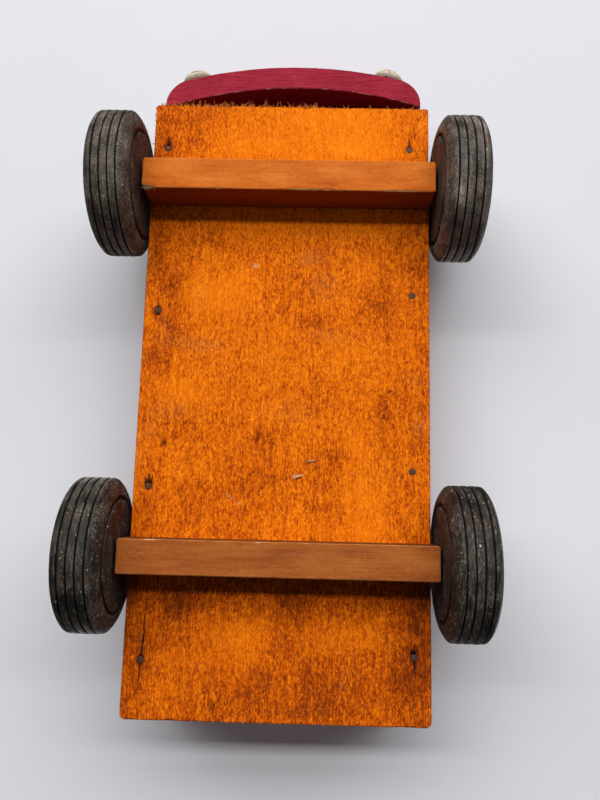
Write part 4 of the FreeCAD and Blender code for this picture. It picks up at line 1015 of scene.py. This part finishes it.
parts_f, parts_d = [], []
front_y = b_lo[1] + 0.35
for i in range(430):
    u = rng.random() ** 1.25
    px_ = b_lo[0] + 2.0 + u * 146.0
    dense = px_ < 18
    if not dense and rng.random() < 0.55:
        continue
    L = rng.uniform(0.7, 2.3) if rng.random() < 0.8 else rng.uniform(2.2, 4.2)
    if not dense:
        L *= 0.6
    a = math.radians(rng.uniform(-55, 55))
    s = strand(curl((px_, front_y + rng.uniform(0, 0.3), b_lo[2] + rng.uniform(0.15, 1.4)), (math.sin(a), -math.cos(a), 0), L, rng.uniform(-0.7, 0.7), rng.uniform(0.1, 1.1)),
               rng.uniform(0.11, 0.24))
    (parts_f if rng.random() < 0.75 else parts_d).append(s)
# curls lying on the face just behind the front edge
for i in range(46):
    px_ = b_lo[0] + 6 + rng.random() * 92
    a = math.radians(rng.uniform(0, 360))
    L = rng.uniform(0.8, 2.6)
    s = strand(curl((px_, b_lo[1] + rng.uniform(0.8, 5.5), b_lo[2] + 0.1), (math.sin(a), -math.cos(a), 0), L, rng.uniform(-1.0, 1.0), rng.uniform(0.15, 0.5)), rng.uniform(0.08, 0.15))
    (parts_f if rng.random() < 0.45 else parts_d).append(s)
# rear end: they hang down from the lower arris and stay inside the board's length
for i in range(150):
    px_ = b_lo[0] + 4 + rng.random() * 142
    tuft = any(abs(px_ - c) < w for c, w in ((-28, 5), (-16, 4), (-3, 7), (56, 6), (20, 5), (-38, 3)))
    if not tuft and rng.random() < 0.5:
        continue
    L = rng.uniform(1.0, 3.0) * (1.7 if tuft else 0.9)
    s = strand(curl((px_, b_hi[1] - rng.uniform(0.7, 1.3), b_lo[2] + 0.6), (rng.uniform(-0.5, 0.5), 0.22, 0), L * 0.35, rng.uniform(-0.5, 0.5), L), rng.uniform(0.1, 0.2))
    v = s[0]
    v[:, 1] = np.minimum(v[:, 1], b_hi[1] - 0.03)
    parts_f.append(s)
for i in range(44):
    px_ = b_lo[0] + 6 + rng.random() * 138
    a = math.radians(rng.uniform(0, 360))
    s = strand(curl((px_, b_hi[1] - rng.uniform(1.5, 7.0), b_lo[2] + 0.1), (math.sin(a), -math.cos(a), 0), rng.uniform(0.8, 2.4), rng.uniform(-1, 1), rng.uniform(0.15, 0.5)), rng.uniform(0.07, 0.14))
    s[0][:, 1] = np.minimum(s[0][:, 1], b_hi[1] - 0.03)
    parts_d.append(s)
# long edges: short dark tufts near the front on the left of the picture, a few elsewhere
for i in range(64):
    sgn = -1 if rng.random() < 0.72 else 1
    py_ = b_lo[1] + 1 + (rng.random() ** 1.8) * (62 if sgn < 0 else 300)
    a = rng.uniform(-0.9, 0.9)
    L = rng.uniform(0.5, 1.7)
    s = strand(curl((sgn * (b_hi[0] - 0.3), py_, b_lo[2] + rng.uniform(0.1, 0.8)), (sgn * math.cos(a), math.sin(a), 0), L, rng.uniform(-0.6, 0.6), rng.uniform(0, 0.7)), rng.uniform(0.1, 0.22))
    parts_d.append(s)
for name, parts, m in (("chassis_edge_fibres_pale", parts_f, M_FIBRE), ("chassis_edge_fibres_dark", parts_d, M_FIBRE_D)):
    v, f, _ = merge(parts)
    make(name, v, f, [m], "root")


# ================================================================ cross blocks
def block(name, node, mat, plan, seed, chips):
    lo, hi = box_mm(node)
    r = 0.75
    R = max(plan)
    X, Y, Z = lines(lo[0], hi[0], 0.9, r, R, R), lines(lo[1], hi[1], 0.8, r, R, R), lines(lo[2], hi[2], 0.8, r)
    p, faces, side = grid_box(X, Y, Z)
    dist = arris_distance(p, lo, hi)
    r_var = r * np.clip(1 + 0.45 * fnoise(p, (9, 5, 5), seed, 3), 0.55, 1.4)
    q = round_plan(rounded(p, lo, hi, np.minimum(r_var, 1.05)), lo, hi, plan)
    inside = np.sign((lo + hi) / 2 - q) * (np.minimum(p - lo, hi - p) < 0.8)
    face = np.sign((lo + hi) / 2 - q) * (np.minimum(p - lo, hi - p) < 1e-6)
    q = q + face * (0.06 * (0.5 + 0.5 * fnoise(p, (18, 4, 4), seed + 2, 3)))[:, None]
    chip = np.zeros(len(p))
    for cx, cy, cz, rx, ry, rz, depth in chips:
        k = np.exp(-(((p[:, 0] - cx) / rx) ** 2 + ((p[:, 1] - cy) / ry) ** 2 + ((p[:, 2] - cz) / rz) ** 2) ** 1.5)
        k = k * (0.7 + 0.5 * fnoise(p, 1.4, seed + 4, 2))
        chip = np.maximum(chip, k)
        q = q + inside * (depth * k)[:, None]
    ragged = smooth01(fnoise(p, (2.6, 9, 9), seed + 6, 2), 0.2, 0.6) * np.exp(-((dist / 0.7) ** 2))
    q = q + inside * (0.16 * ragged)[:, None]
    chip = np.maximum(chip, 0.5 * ragged)
    return make(name, q, faces, [mat], "root", (node,), attrs={"arris": np.minimum(dist, 12), "chip": np.clip(chip, 0, 1)})


flo, fhi = box_mm("axle_block_front")
rlo, rhi = box_mm("axle_block_rear")
# (x, y, z of the chip, reach along each axis, depth)
block("axle_block_front_worn", "axle_block_front", M_BLOCK_F, (1.8, 1.0, 2.3, 1.2), 201,
      [(flo[0] + 3.2, fhi[1], flo[2], 3.6, 2.2, 2.0, 0.95), (8, fhi[1], flo[2], 10, 0.9, 0.9, 0.3), (20, fhi[1], flo[2], 3, 0.9, 0.9, 0.4),
       (58, fhi[1], flo[2], 12, 0.8, 0.8, 0.28), (-36, fhi[1], flo[2], 2.0, 0.8, 0.8, 0.3)])
block("axle_block_rear_worn", "axle_block_rear", M_BLOCK_R, (1.4, 1.2, 1.0, 1.0), 211,
      [(-9, rlo[1], rlo[2], 1.6, 0.9, 0.9, 0.5), (40, rhi[1], rlo[2], 6, 0.7, 0.7, 0.25), (-60, rlo[1], rlo[2], 5, 0.7, 0.7, 0.25)])
parts = []
for i in range(13):
    a = math.radians(rng.uniform(-50, 70))
    bx = flo[0] + rng.uniform(0.8, 6.5)
    parts.append(strand(curl((bx, fhi[1] - rng.uniform(0.2, 0.9), flo[2] + rng.uniform(0.5, 1.2)), (math.sin(a), abs(math.cos(a)) * 0.55, 0), rng.uniform(1.2, 3.2), rng.uniform(-0.9, 0.9), rng.uniform(0.1, 0.55)),
                         rng.uniform(0.1, 0.2)))
for i in range(16):
    bx = rng.uniform(-10, 40)
    parts.append(strand(curl((bx, fhi[1] - 0.45, flo[2] + 0.5), (rng.choice([-1, 1]), 0.3, 0), rng.uniform(0.8, 2.2), rng.uniform(-0.2, 0.2), rng.uniform(0.0, 0.25)), rng.uniform(0.08, 0.13)))
v, f, _ = merge(parts)
make("axle_block_front_splinters", v, f, [M_SPLINTER], "root")

# ================================================================ nose
FRONT = b_lo[1]
nlo, nhi = box_mm("nose_panel")
NH, NR = nhi[0], -nlo[0]
OC, OR = np.array([3.9, 44.0 + MID]), 228.8
IC, IR = np.array([4.4, 48.8 + MID]), 220.5
CORNER = {1: (NH, 15.0), -1: (NR, 15.8)}


def corner_pts(sgn):
    """The rounded front corner on side sgn: its centre and its tangent point on the front arc."""
    half_, cr = CORNER[sgn]
    cx = sgn * (half_ - cr)
    cy = OC[1] - math.sqrt((OR - cr) ** 2 - (cx - OC[0]) ** 2)
    c = np.array([cx, cy])
    u = (c - OC) / np.linalg.norm(c - OC)
    return c, OC + u * OR


c_r, t_r = corner_pts(-1)
c_l, t_l = corner_pts(1)
ang = lambda c, q_: math.atan2(q_[1] - c[1], q_[0] - c[0])
pts = [np.array([[-NR, FRONT]])]
a0, a1 = math.pi, ang(c_r, t_r) % (2 * math.pi)
pts.append(arc(c_r, CORNER[-1][1], a0, a1, 0.8))
pts.append(arc(OC, OR, ang(OC, t_r), ang(OC, t_l), 1.0)[1:-1])
pts.append(arc(c_l, CORNER[1][1], ang(c_l, t_l), 0.0, 0.8))
y_in = IC[1] - math.sqrt(IR ** 2 - (NH - IC[0]) ** 2)
pts.append(np.array([[NH, yv] for yv in np.linspace(c_l[1], y_in, 9)[1:]]))
meet = np.array([IC[0] - math.sqrt(IR ** 2 - (FRONT - IC[1]) ** 2), FRONT])
pts.append(arc(IC, IR, ang(IC, (NH, y_in)), ang(IC, meet), 1.0)[1:])
pts.append(np.array([[xv, FRONT] for xv in np.linspace(meet[0], -NR, 7)[1:-1]]))
outline_nose = clear_corners(np.concatenate(pts), [(-NR, FRONT), (NH, y_in)])
v, f, at = extrude(outline_nose, nlo[2], nhi[2], 0.6, 3.0, rings=(0.5, 1.1), seed=301, size=6.0)
# the rims are a little ragged, and the curved faces not quite fair: moves are inwards, so the panel keeps its size
mid_dir = np.stack([v[:, 0] - OC[0], v[:, 1] - OC[1]], 1)
mid_dir /= np.linalg.norm(mid_dir, axis=1, keepdims=True)
rad = np.hypot(v[:, 0] - OC[0], v[:, 1] - OC[1])
outer_side = smooth01(rad, 221.5, 224.5)
dent = 0.07 * (0.5 + 0.5 * fnoise(v, (18, 18, 18), 305, 2)) + 0.10 * smooth01(fnoise(v, 5, 307, 3), 0.25, 0.7) * np.exp(-((at["arris"] / 1.0) ** 2))
v[:, :2] -= mid_dir * (dent * outer_side)[:, None]
v[:, :2] += mid_dir * (dent * (1 - outer_side))[:, None]
v[:, 1] = np.minimum(v[:, 1], FRONT)
make("nose_panel_painted", v, f, [M_NOSE], "root", ("nose_panel",), attrs=at)

plo, phi = box_mm("nose_top_plate")
PR = IR - 0.05
ya, yb = (IC[1] - math.sqrt(PR ** 2 - (xv - IC[0]) ** 2) for xv in (plo[0], phi[0]))
pts = [np.array([[plo[0], yv] for yv in np.linspace(FRONT, ya, 8)[:-1]]), arc(IC, PR, ang(IC, (plo[0], ya)), ang(IC, (phi[0], yb)), 1.2),
       np.array([[phi[0], yv] for yv in np.linspace(yb, FRONT, 8)[1:]]), np.array([[xv, FRONT] for xv in np.linspace(phi[0], plo[0], 60)[1:-1]])]
plate = clear_corners(np.concatenate(pts), [(plo[0], FRONT), (plo[0], ya), (phi[0], FRONT), (phi[0], yb)], 2.2)
v, f, at = extrude(plate, plo[2], phi[2], 0.4, 3.0, rings=(0.4, 0.8), seed=311, size=8.0)
make("nose_top_plate_painted", v, f, [M_NOSE], "root", ("nose_top_plate",), attrs=at)

# ================================================================ box boards
board("side_board_left_worn", "side_board_left", [M_BOX_SIDE], seed=401, rnd=0.95, wear=0.22)
board("side_board_right_worn", "side_board_right", [M_BOX_SIDE], seed=411, rnd=0.95, wear=0.22)
board("tail_board_worn", "tail_board", [M_BOX_END], seed=421, rnd=0.8, wear=0.2)
board("front_board_worn", "front_board", [M_BOX_END], seed=431, rnd=0.8, wear=0.2)


# ================================================================ nails
def nail(head_r, head_t, wire_r, length, seed, crown=0.12):
    """A wire nail along +X from its head's face: slightly domed, out-of-round, hammered head."""
    prof = [(0.0, 0.0), (0.01, head_r * 0.35), (crown * 0.3, head_r * 0.62), (crown * 0.7, head_r * 0.85), (crown + 0.08, head_r * 0.97),
            (crown + 0.22, head_r), (head_t * 0.8, head_r * 0.99), (head_t, head_r * 0.93), (head_t + 0.15, wire_r * 1.25), (head_t + 0.7, wire_r),
            (length * 0.5, wire_r), (length - 2.6, wire_r), (length - 0.2, wire_r * 0.2), (length, 0.0)]

    def wob(v, owner):
        k = 1 + 0.035 * vnoise(v + seed * 3.1, 1.9, seed)
        v = v.copy()
        head = v[:, 0] < head_t + 0.1
        v[head, 1] *= np.minimum(k, 1.0)[head]
        v[head, 2] *= np.minimum(k, 1.0)[head]
        top = owner <= 4
        v[top, 0] += 0.05 * (1 + vnoise(v + seed, 0.9, seed + 1))[top]
        return v

    v, f, at = lathe(prof, 28, wobble=wob)
    return v, [tuple(reversed(face)) for face in f], {}


def nail_group(name, node, way, mat, sizes=(1.7, 0.8, 0.95)):
    """Replaces a CAD nail group. way: the direction the points go."""
    way = np.array(way, float)
    k = int(np.argmax(abs(way)))
    axes = [a for a in range(3) if a != k]
    parts = []
    for i, (lo_, hi_) in enumerate(clusters(node, axes)):
        at = (lo_ + hi_) / 2
        start = lo_[k] if way[k] > 0 else hi_[k]
        at[k] = start
        v, f, a = nail(*sizes, hi_[k] - lo_[k], 500 + 7 * i + len(name))
        parts.append((turn(v, way, at), f, a))
    v, f, _ = merge(parts)
    return make(name, v, f, [mat], "root", (node,))


nail_group("chassis_nails_left_worn", "chassis_nails_left", (0, 0, 1), M_NAIL)
nail_group("chassis_nails_right_worn", "chassis_nails_right", (0, 0, 1), M_RUST)
nail_group("block_nails_front_worn", "block_nails_front", (0, 0, -1), M_NAIL)
nail_group("block_nails_rear_worn", "block_nails_rear", (0, 0, -1), M_NAIL)
nail_group("nose_nails_worn", "nose_nails", (0, 1, 0), M_NAIL)


def wall_nails(name, node):
    """Nails that go in from both sides: two clusters along X at each height."""
    co = np.array([v_.co for v_ in nodes[node].data.vertices], float) * 1000
    parts = []
    for sgn in (-1, 1):
        mine = co[co[:, 0] * sgn > 0]
        left = mine
        while len(left):
            d = np.linalg.norm(left[:, 1:] - left[0, 1:], axis=1)
            got, left = left[d < 4], left[d >= 4]
            lo_, hi_ = got.min(0), got.max(0)
            at = (lo_ + hi_) / 2
            at[0] = hi_[0] if sgn > 0 else lo_[0]
            v, f, a = nail(1.7, 0.8, 0.95, hi_[0] - lo_[0], 560 + int(at[2]) + sgn)
            parts.append((turn(v, (-sgn, 0, 0), at), f, a))
    v, f, _ = merge(parts)
    return make(name, v, f, [M_NAIL], "root", (node,))


wall_nails("tail_board_nails_worn", "tail_board_nails")
wall_nails("front_board_nails_worn", "front_board_nails")


# ================================================================ headlights
def headlight(name, node, mat, seed):
    """Domed nail: spun dome with a thin turned-in rim, small dents; its shank goes into the nose."""
    lo, hi = box_mm(node)
    R, H, LIP = 9.8, 9.2, 0.9
    # the seat on the front arc, and the outward direction there
    xa = {"headlight_left": 52.8, "headlight_right": -53.5}[node]
    yv = OC[1] - math.sqrt(OR ** 2 - (xa - OC[0]) ** 2)
    d = np.array([xa - OC[0], yv - OC[1]]) / OR
    zc = (lo[2] + hi[2]) / 2
    rise = H - LIP
    S = (R * R + rise * rise) / (2 * rise)
    prof, rim = [], []
    n = 26
    for i in range(n + 1):
        t = (i / n) * math.asin(min(1.0, R / S)) if R / S < 1 else (i / n) * math.pi / 2
        rr, aa = S * math.sin(t), H - (S - S * math.cos(t))
        prof.append((aa, rr if i else 0.0))
        rim.append(smooth01(rr / R, 0.72, 1.0).item())
    prof += [(LIP * 0.75, R * 0.997), (LIP * 0.3, R * 0.985), (0.06, R * 0.955), (0.0, R * 0.90), (0.0, R * 0.5), (0.0, 1.4), (-0.3, 1.3), (-7.9, 1.3), (-10.4, 0.12), (-10.5, 0.0)]
    rim += [1.0] * 10

    def wob(v, owner):
        v = v.copy()
        outer = owner <= n
        push = 0.10 * smooth01(vnoise(v, 3.4, seed), 0.1, 0.7) + 0.05 * (0.5 + 0.5 * vnoise(v, 1.7, seed + 1))
        nrm = v / np.maximum(np.linalg.norm(v, axis=1, keepdims=True), 1e-6)
        v[outer] -= (nrm * push[:, None])[outer]
        return v

    v, f, at = lathe(prof, 72, wobble=wob, attrs={"rim": rim})
    v = turn(v, (d[0], d[1], 0), (xa, yv, zc))
    make(name, v, f, [mat], "root", (node,), attrs=at)


headlight("headlight_left_dome", "headlight_left", M_DOME[0], 601)
headlight("headlight_right_dome", "headlight_right", M_DOME[1], 611)

# ================================================================ wheels
HW, BORE = 11.7, 2.58


def wheel_profile():
    """Half section of the turned wheel, from the bore on one face over the tread to the other: rows of (along, radius, groove, rib edge, hub)."""
    half = [(HW - 0.9, BORE, 0.6, 0, 1), (HW - 0.35, BORE + 0.02, 0.4, 0, 1), (HW - 0.1, BORE + 0.2, 0.3, 0, 1), (HW, BORE + 0.5, 0.1, 0, 1),
            (HW, 5.5, 0, 0, 1), (HW - 0.02, 9.5, 0, 0, 1), (HW - 0.06, 14, 0, 0, 1), (HW - 0.05, 19.0, 0, 0, 1), (HW - 0.01, 23.5, 0, 0, 1), (HW, 25.5, 0, 0.2, 1),
            (HW - 0.08, 26.1, 0, 0.9, 1), (HW - 0.28, 26.4, 0.2, 0.9, 1), (HW - 0.8, 26.56, 0.8, 0, 0.6), (HW - 1.4, 26.7, 1, 0, 0.3), (HW - 1.68, 27.0, 1, 0, 0),
            (HW - 1.7, 27.6, 1, 0, 0), (HW - 1.5, 28.0, 0.9, 0, 0), (HW - 1.0, 28.3, 0.5, 0.1, 0), (HW - 0.62, 28.6, 0.1, 0.8, 0)]
    # tyre side and shoulder: an arc of 10.5 mm from r 28.8 to r 36.6
    a, b = np.array([HW - 0.5, 28.8]), np.array([HW - 3.8, 36.6])
    m, d = (a + b) / 2, b - a
    L = np.linalg.norm(d)
    h = math.sqrt(10.5 ** 2 - (L / 2) ** 2)
    nrm = np.array([d[1], -d[0]]) / L
    c = m - nrm * h
    t0, t1 = math.atan2(a[1] - c[1], a[0] - c[0]), math.atan2(b[1] - c[1], b[0] - c[0])
    for i in range(11):
        t = t0 + (t1 - t0) * i / 10
        # a faint line part of the way up, marked as rib edge
        half.append((c[0] + 10.5 * math.cos(t), c[1] + 10.5 * math.sin(t), 0, 0.5 if i in (3, 4) else 0.15, 0))
    # tread from the shoulder to the middle: ribs with eased edges between V grooves at 6 and 2 mm
    half.append((7.35, 36.78, 0, 0.3, 0))
    half.append((6.75, 36.86, 0, 0.7, 0))
    for g in (6.0, 2.0):
        half += [(g + 0.56, 36.80, 0, 1.0, 0), (g + 0.42, 36.50, 0.35, 0.5, 0), (g + 0.32, 35.9, 0.85, 0, 0), (g + 0.17, 35.42, 1, 0, 0),
                 (g - 0.17, 35.42, 1, 0, 0), (g - 0.32, 35.9, 0.85, 0, 0), (g - 0.42, 36.50, 0.35, 0.5, 0), (g - 0.56, 36.80, 0, 1.0, 0)]
        if g == 6.0:
            half += [(5.1, 36.92, 0, 0.35, 0), (4.5, 36.97, 0, 0, 0), (3.6, 36.98, 0, 0, 0), (2.9, 36.93, 0, 0.35, 0)]
    half += [(0.9, 36.95, 0, 0.3, 0)]
    right = half
    left = [(-r_[0], *r_[1:]) for r_ in reversed(half)]
    rows = right + [(0.0, 37.0, 0, 0, 0)] + left
    bore = [(-x_, BORE, 0.8, 0, 1) for x_ in (8.0, 3.0, -3.0, -8.0)]
    return rows + bore


PROFILE = wheel_profile()


def wheel(name, node, body, mat, seed):
    lo, hi = box_mm(node)
    centre = (lo + hi) / 2
    rows = PROFILE
    along = [(r_[0], r_[1]) for r_ in rows]

    def wob(v, owner):
        v = v.copy()
        r = np.hypot(v[:, 1], v[:, 2])
        u = v[:, 1:] / np.maximum(r, 1e-6)[:, None]
        edge = np.array([row[3] for row in rows])[owner]
        tread = smooth01(r, 30, 34)
        # only inwards: worn flats on the ribs, nicks on their edges, moulding unevenness on the sides
        worn = 0.10 * smooth01(vnoise(v, (5, 12, 12), seed), 0.0, 0.7) + 0.05 * (0.5 + 0.5 * fnoise(v, (2, 5, 5), seed + 1, 2))
        nick = 0.32 * smooth01(fnoise(v, (1.6, 2.4, 2.4), seed + 2, 2), 0.42, 0.7) * edge
        v[:, 1:] -= u * ((worn + nick) * tread)[:, None]
        drift = 0.11 * vnoise(np.stack([np.zeros(len(v)), v[:, 1], v[:, 2]], 1), 22, seed + 3)
        middle = (np.abs(v[:, 0]) < 7.4) & (r > 30)
        v[middle, 0] += drift[middle]
        face = smooth01(np.abs(v[:, 0]), 7.5, 9.5)
        v[:, 0] -= np.sign(v[:, 0]) * face * (0.05 * (0.5 + 0.5 * fnoise(v, 6, seed + 4, 3))) * (r > BORE + 0.3)
        return v

    v, f, at = lathe(along, 200, closed=True, wobble=wob,
                     attrs={"groove": [r_[2] for r_ in rows], "ribedge": [r_[3] for r_ in rows], "hub": [r_[4] for r_ in rows]})
    v = v + centre
    make(name, v, f, [mat], body, (node,), attrs=at)


wheel("wheel_front_left_ribbed", "wheel_front_left", "wheel_front_left_body", M_WHEEL[0], 701)
wheel("wheel_front_right_ribbed", "wheel_front_right", "wheel_front_right_body", M_WHEEL[1], 711)
wheel("wheel_rear_left_ribbed", "wheel_rear_left", "wheel_rear_left_body", M_WHEEL[2], 721)
wheel("wheel_rear_right_ribbed", "wheel_rear_right", "wheel_rear_right_body", M_WHEEL[3], 731)

# ================================================================ CAD nodes that stay
for n in nodes:
    if n.startswith(("axle_screw_", "axle_washer_")):
        o = nodes[n]
        for s in o.material_slots:
            s.material = M_SCREW
        w = o.modifiers.new("weld", "WELD")
        w.merge_threshold = 0.00001
        b = o.modifiers.new("ease", "BEVEL")
        b.width = 0.00018
        b.segments = 2
        b.limit_method = "ANGLE"
        b.angle_limit = math.radians(35)

# ================================================================ camera
cam_data = bpy.data.cameras.new("camera")
cam = bpy.data.objects.new("camera", cam_data)
scene.collection.objects.link(cam)
cam_data.lens = 31.288
cam_data.sensor_width = 36.0
cam_data.clip_start = 0.01
cam_data.clip_end = 20.0
right_ = Vector((0.99961452, -0.02428907, 0.01344776))
up_ = Vector((-0.02181759, -0.98678733, -0.16054517))
back_ = Vector((0.01716958, 0.16018988, -0.98693688))
m = Matrix((right_, up_, back_)).transposed().to_4x4()
m.translation = Vector((0.0144616, 0.073351 + DY * MM, -0.30683))
cam.matrix_world = m
scene.camera = cam


# ================================================================ stage: floors, backdrop, lights
def stage_obj(name, verts, faces, mat):
    me = bpy.data.meshes.new(name)
    me.from_pydata(verts, [], faces)
    me.materials.append(mat)
    for pl in me.polygons:
        pl.use_smooth = True
    o = bpy.data.objects.new(name, me)
    scene.collection.objects.link(o)
    for k in ("visible_diffuse", "visible_glossy", "visible_transmission", "visible_volume_scatter", "visible_shadow"):
        setattr(o, k, False)
    return o


def floor_mat(name, colour, fade):
    """Pale matt floor seen from its front only, with its border faded out. fade(tree) gives the cover from 0 to 1."""
    t = Tree(name)
    nt = t.nt
    nt.nodes.remove(t.shader)
    dif = nt.nodes.new("ShaderNodeBsdfDiffuse")
    cloud = t.noise((160, 160, 160), 2, 0.5, 901)
    speck = t.fit(t.cells(26, 902), 0.012, 0.03, 1, 0)
    col = t.mix(t.fit(cloud, 0.3, 0.7, 0, 0.5), colour, scaled(colour, 0.965))
    col = t.mix(t.math("MULTIPLY", speck, 0.12), col, scaled(colour, 0.6))
    t.put(dif.inputs["Color"], col)
    clear = nt.nodes.new("ShaderNodeBsdfTransparent")
    back = nt.nodes.new("ShaderNodeNewGeometry").outputs["Backfacing"]
    cover = t.math("MULTIPLY", t.math("SUBTRACT", 1.0, back), fade(t))
    mixer = nt.nodes.new("ShaderNodeMixShader")
    nt.links.new(cover, mixer.inputs[0])
    nt.links.new(clear.outputs[0], mixer.inputs[1])
    nt.links.new(dif.outputs[0], mixer.inputs[2])
    nt.links.new(mixer.outputs[0], t.out.inputs["Surface"])
    return t.mat


def fade_rect(cx, cy, hx, hy, soft):
    def go(t):
        xx, yy, zz = t.xyz()
        a = t.fit(t.math("ABSOLUTE", t.math("SUBTRACT", xx, cx)), hx - soft, hx, 1, 0)
        b = t.fit(t.math("ABSOLUTE", t.math("SUBTRACT", yy, cy)), hy - soft, hy, 1, 0)
        return t.math("MULTIPLY", a, b)
    return go


def fade_round(r0, r1):
    def go(t):
        xx, yy, zz = t.xyz()
        r = t.math("SQRT", t.math("ADD", t.math("MULTIPLY", xx, xx), t.math("MULTIPLY", yy, yy)))
        return t.fit(r, r0, r1, 1, 0)
    return go


PALE = (0.772, 0.786, 0.835)
# the surface the toy lies on upside down in the picture: it touches the rim and is seen only from below
top_z = cad_hi[2]
cx, cy, hx, hy = 0.0, -0.012, 0.235, 0.285
# tilted by 2.6 degrees each way about the rim's middle, so that a level view from the front or the left sees only its hidden side
lay_z = lambda x, y: top_z - 0.046 * x + 0.046 * y
lay = stage_obj("lying_floor", [(x, y, lay_z(x, y)) for x, y in ((cx - hx, cy - hy), (cx + hx, cy - hy), (cx + hx, cy + hy), (cx - hx, cy + hy))],
                [(0, 3, 2, 1)], floor_mat("lying_floor", PALE, fade_rect(cx, cy, hx, hy, 0.03)))
# the floor it stands on in the upright views, seen only from above
S_ = 1.6
stand = stage_obj("standing_floor", [(-S_, -S_, 0), (S_, -S_, 0), (S_, S_, 0), (-S_, S_, 0)], [(0, 1, 2, 3)],
                  floor_mat("standing_floor", PALE, fade_round(0.45, 1.35)))
# plain pale backdrop all round
bm_v, bm_f = [], []
nu, nv, RAD = 48, 24, 6.0
for j in range(nv + 1):
    for i in range(nu):
        a_, b_ = 2 * math.pi * i / nu, math.pi * j / nv
        bm_v.append((RAD * math.sin(b_) * math.cos(a_), RAD * math.sin(b_) * math.sin(a_), RAD * math.cos(b_)))
for j in range(nv):
    for i in range(nu):
        i2 = (i + 1) % nu
        bm_f.append((j * nu + i, j * nu + i2, (j + 1) * nu + i2, (j + 1) * nu + i))
sky = bpy.data.materials.new("backdrop")
sky.use_nodes = True
sky.node_tree.nodes.clear()
so = sky.node_tree.nodes.new("ShaderNodeOutputMaterial")
se = sky.node_tree.nodes.new("ShaderNodeEmission")
se.inputs["Color"].default_value = (*PALE, 1)
se.inputs["Strength"].default_value = 1.0
sky.node_tree.links.new(se.outputs[0], so.inputs["Surface"])
stage_obj("backdrop", bm_v, bm_f, sky)

world = bpy.data.worlds.new("world")
scene.world = world
world.use_nodes = True
bg = world.node_tree.nodes["Background"]
bg.inputs["Color"].default_value = (0.93, 0.96, 1.0, 1)
bg.inputs["Strength"].default_value = 0.06


def area(name, where, size, power, colour=(1, 1, 1), aim=(0, 0.01, 0.05)):
    d = bpy.data.lights.new(name, "AREA")
    d.shape = "RECTANGLE"
    d.size, d.size_y = size
    d.energy = power
    d.color = colour
    o = bpy.data.objects.new(name, d)
    scene.collection.objects.link(o)
    o.location = where
    o.rotation_mode = "QUATERNION"
    o.rotation_quaternion = (Vector(aim) - Vector(where)).to_track_quat("-Z", "Y")
    o.visible_camera = False
    return o


def aim_from(elev, lateral, dist):
    """A place below the toy, towards its front: elev is the light's height over the lying floor, in degrees."""
    e, s = math.radians(elev), math.radians(lateral)
    return (dist * math.cos(e) * math.sin(s), 0.01 - dist * math.cos(e) * math.cos(s), 0.05 - dist * math.sin(e))


# light on the underside: long strips across the nose end
area("low_key", aim_from(65.5, 0, 4.0), (8.0, 0.42), 106.0, (1.0, 0.985, 0.96))
area("low_mid", aim_from(49, 0, 4.0), (8.0, 1.3), 124.0, (1.0, 0.99, 0.98))
area("low_far", aim_from(34, 0, 4.0), (7.0, 0.9), 62.0, (1.0, 0.99, 0.98))
area("low_over", aim_from(89, 0, 2.4), (0.9, 0.9), 1.7, (1.0, 0.99, 0.98))
# soft studio light on the upper side
area("high_key", (-0.75, -0.85, 1.5), (0.9, 0.9), 13.0, (1.0, 0.98, 0.95))
area("high_fill", (0.95, 0.35, 1.35), (1.1, 1.1), 9.0, (0.95, 0.975, 1.0))
area("high_back", (-0.25, 1.1, 1.25), (1.0, 0.7), 6.0, (1.0, 1.0, 1.0))
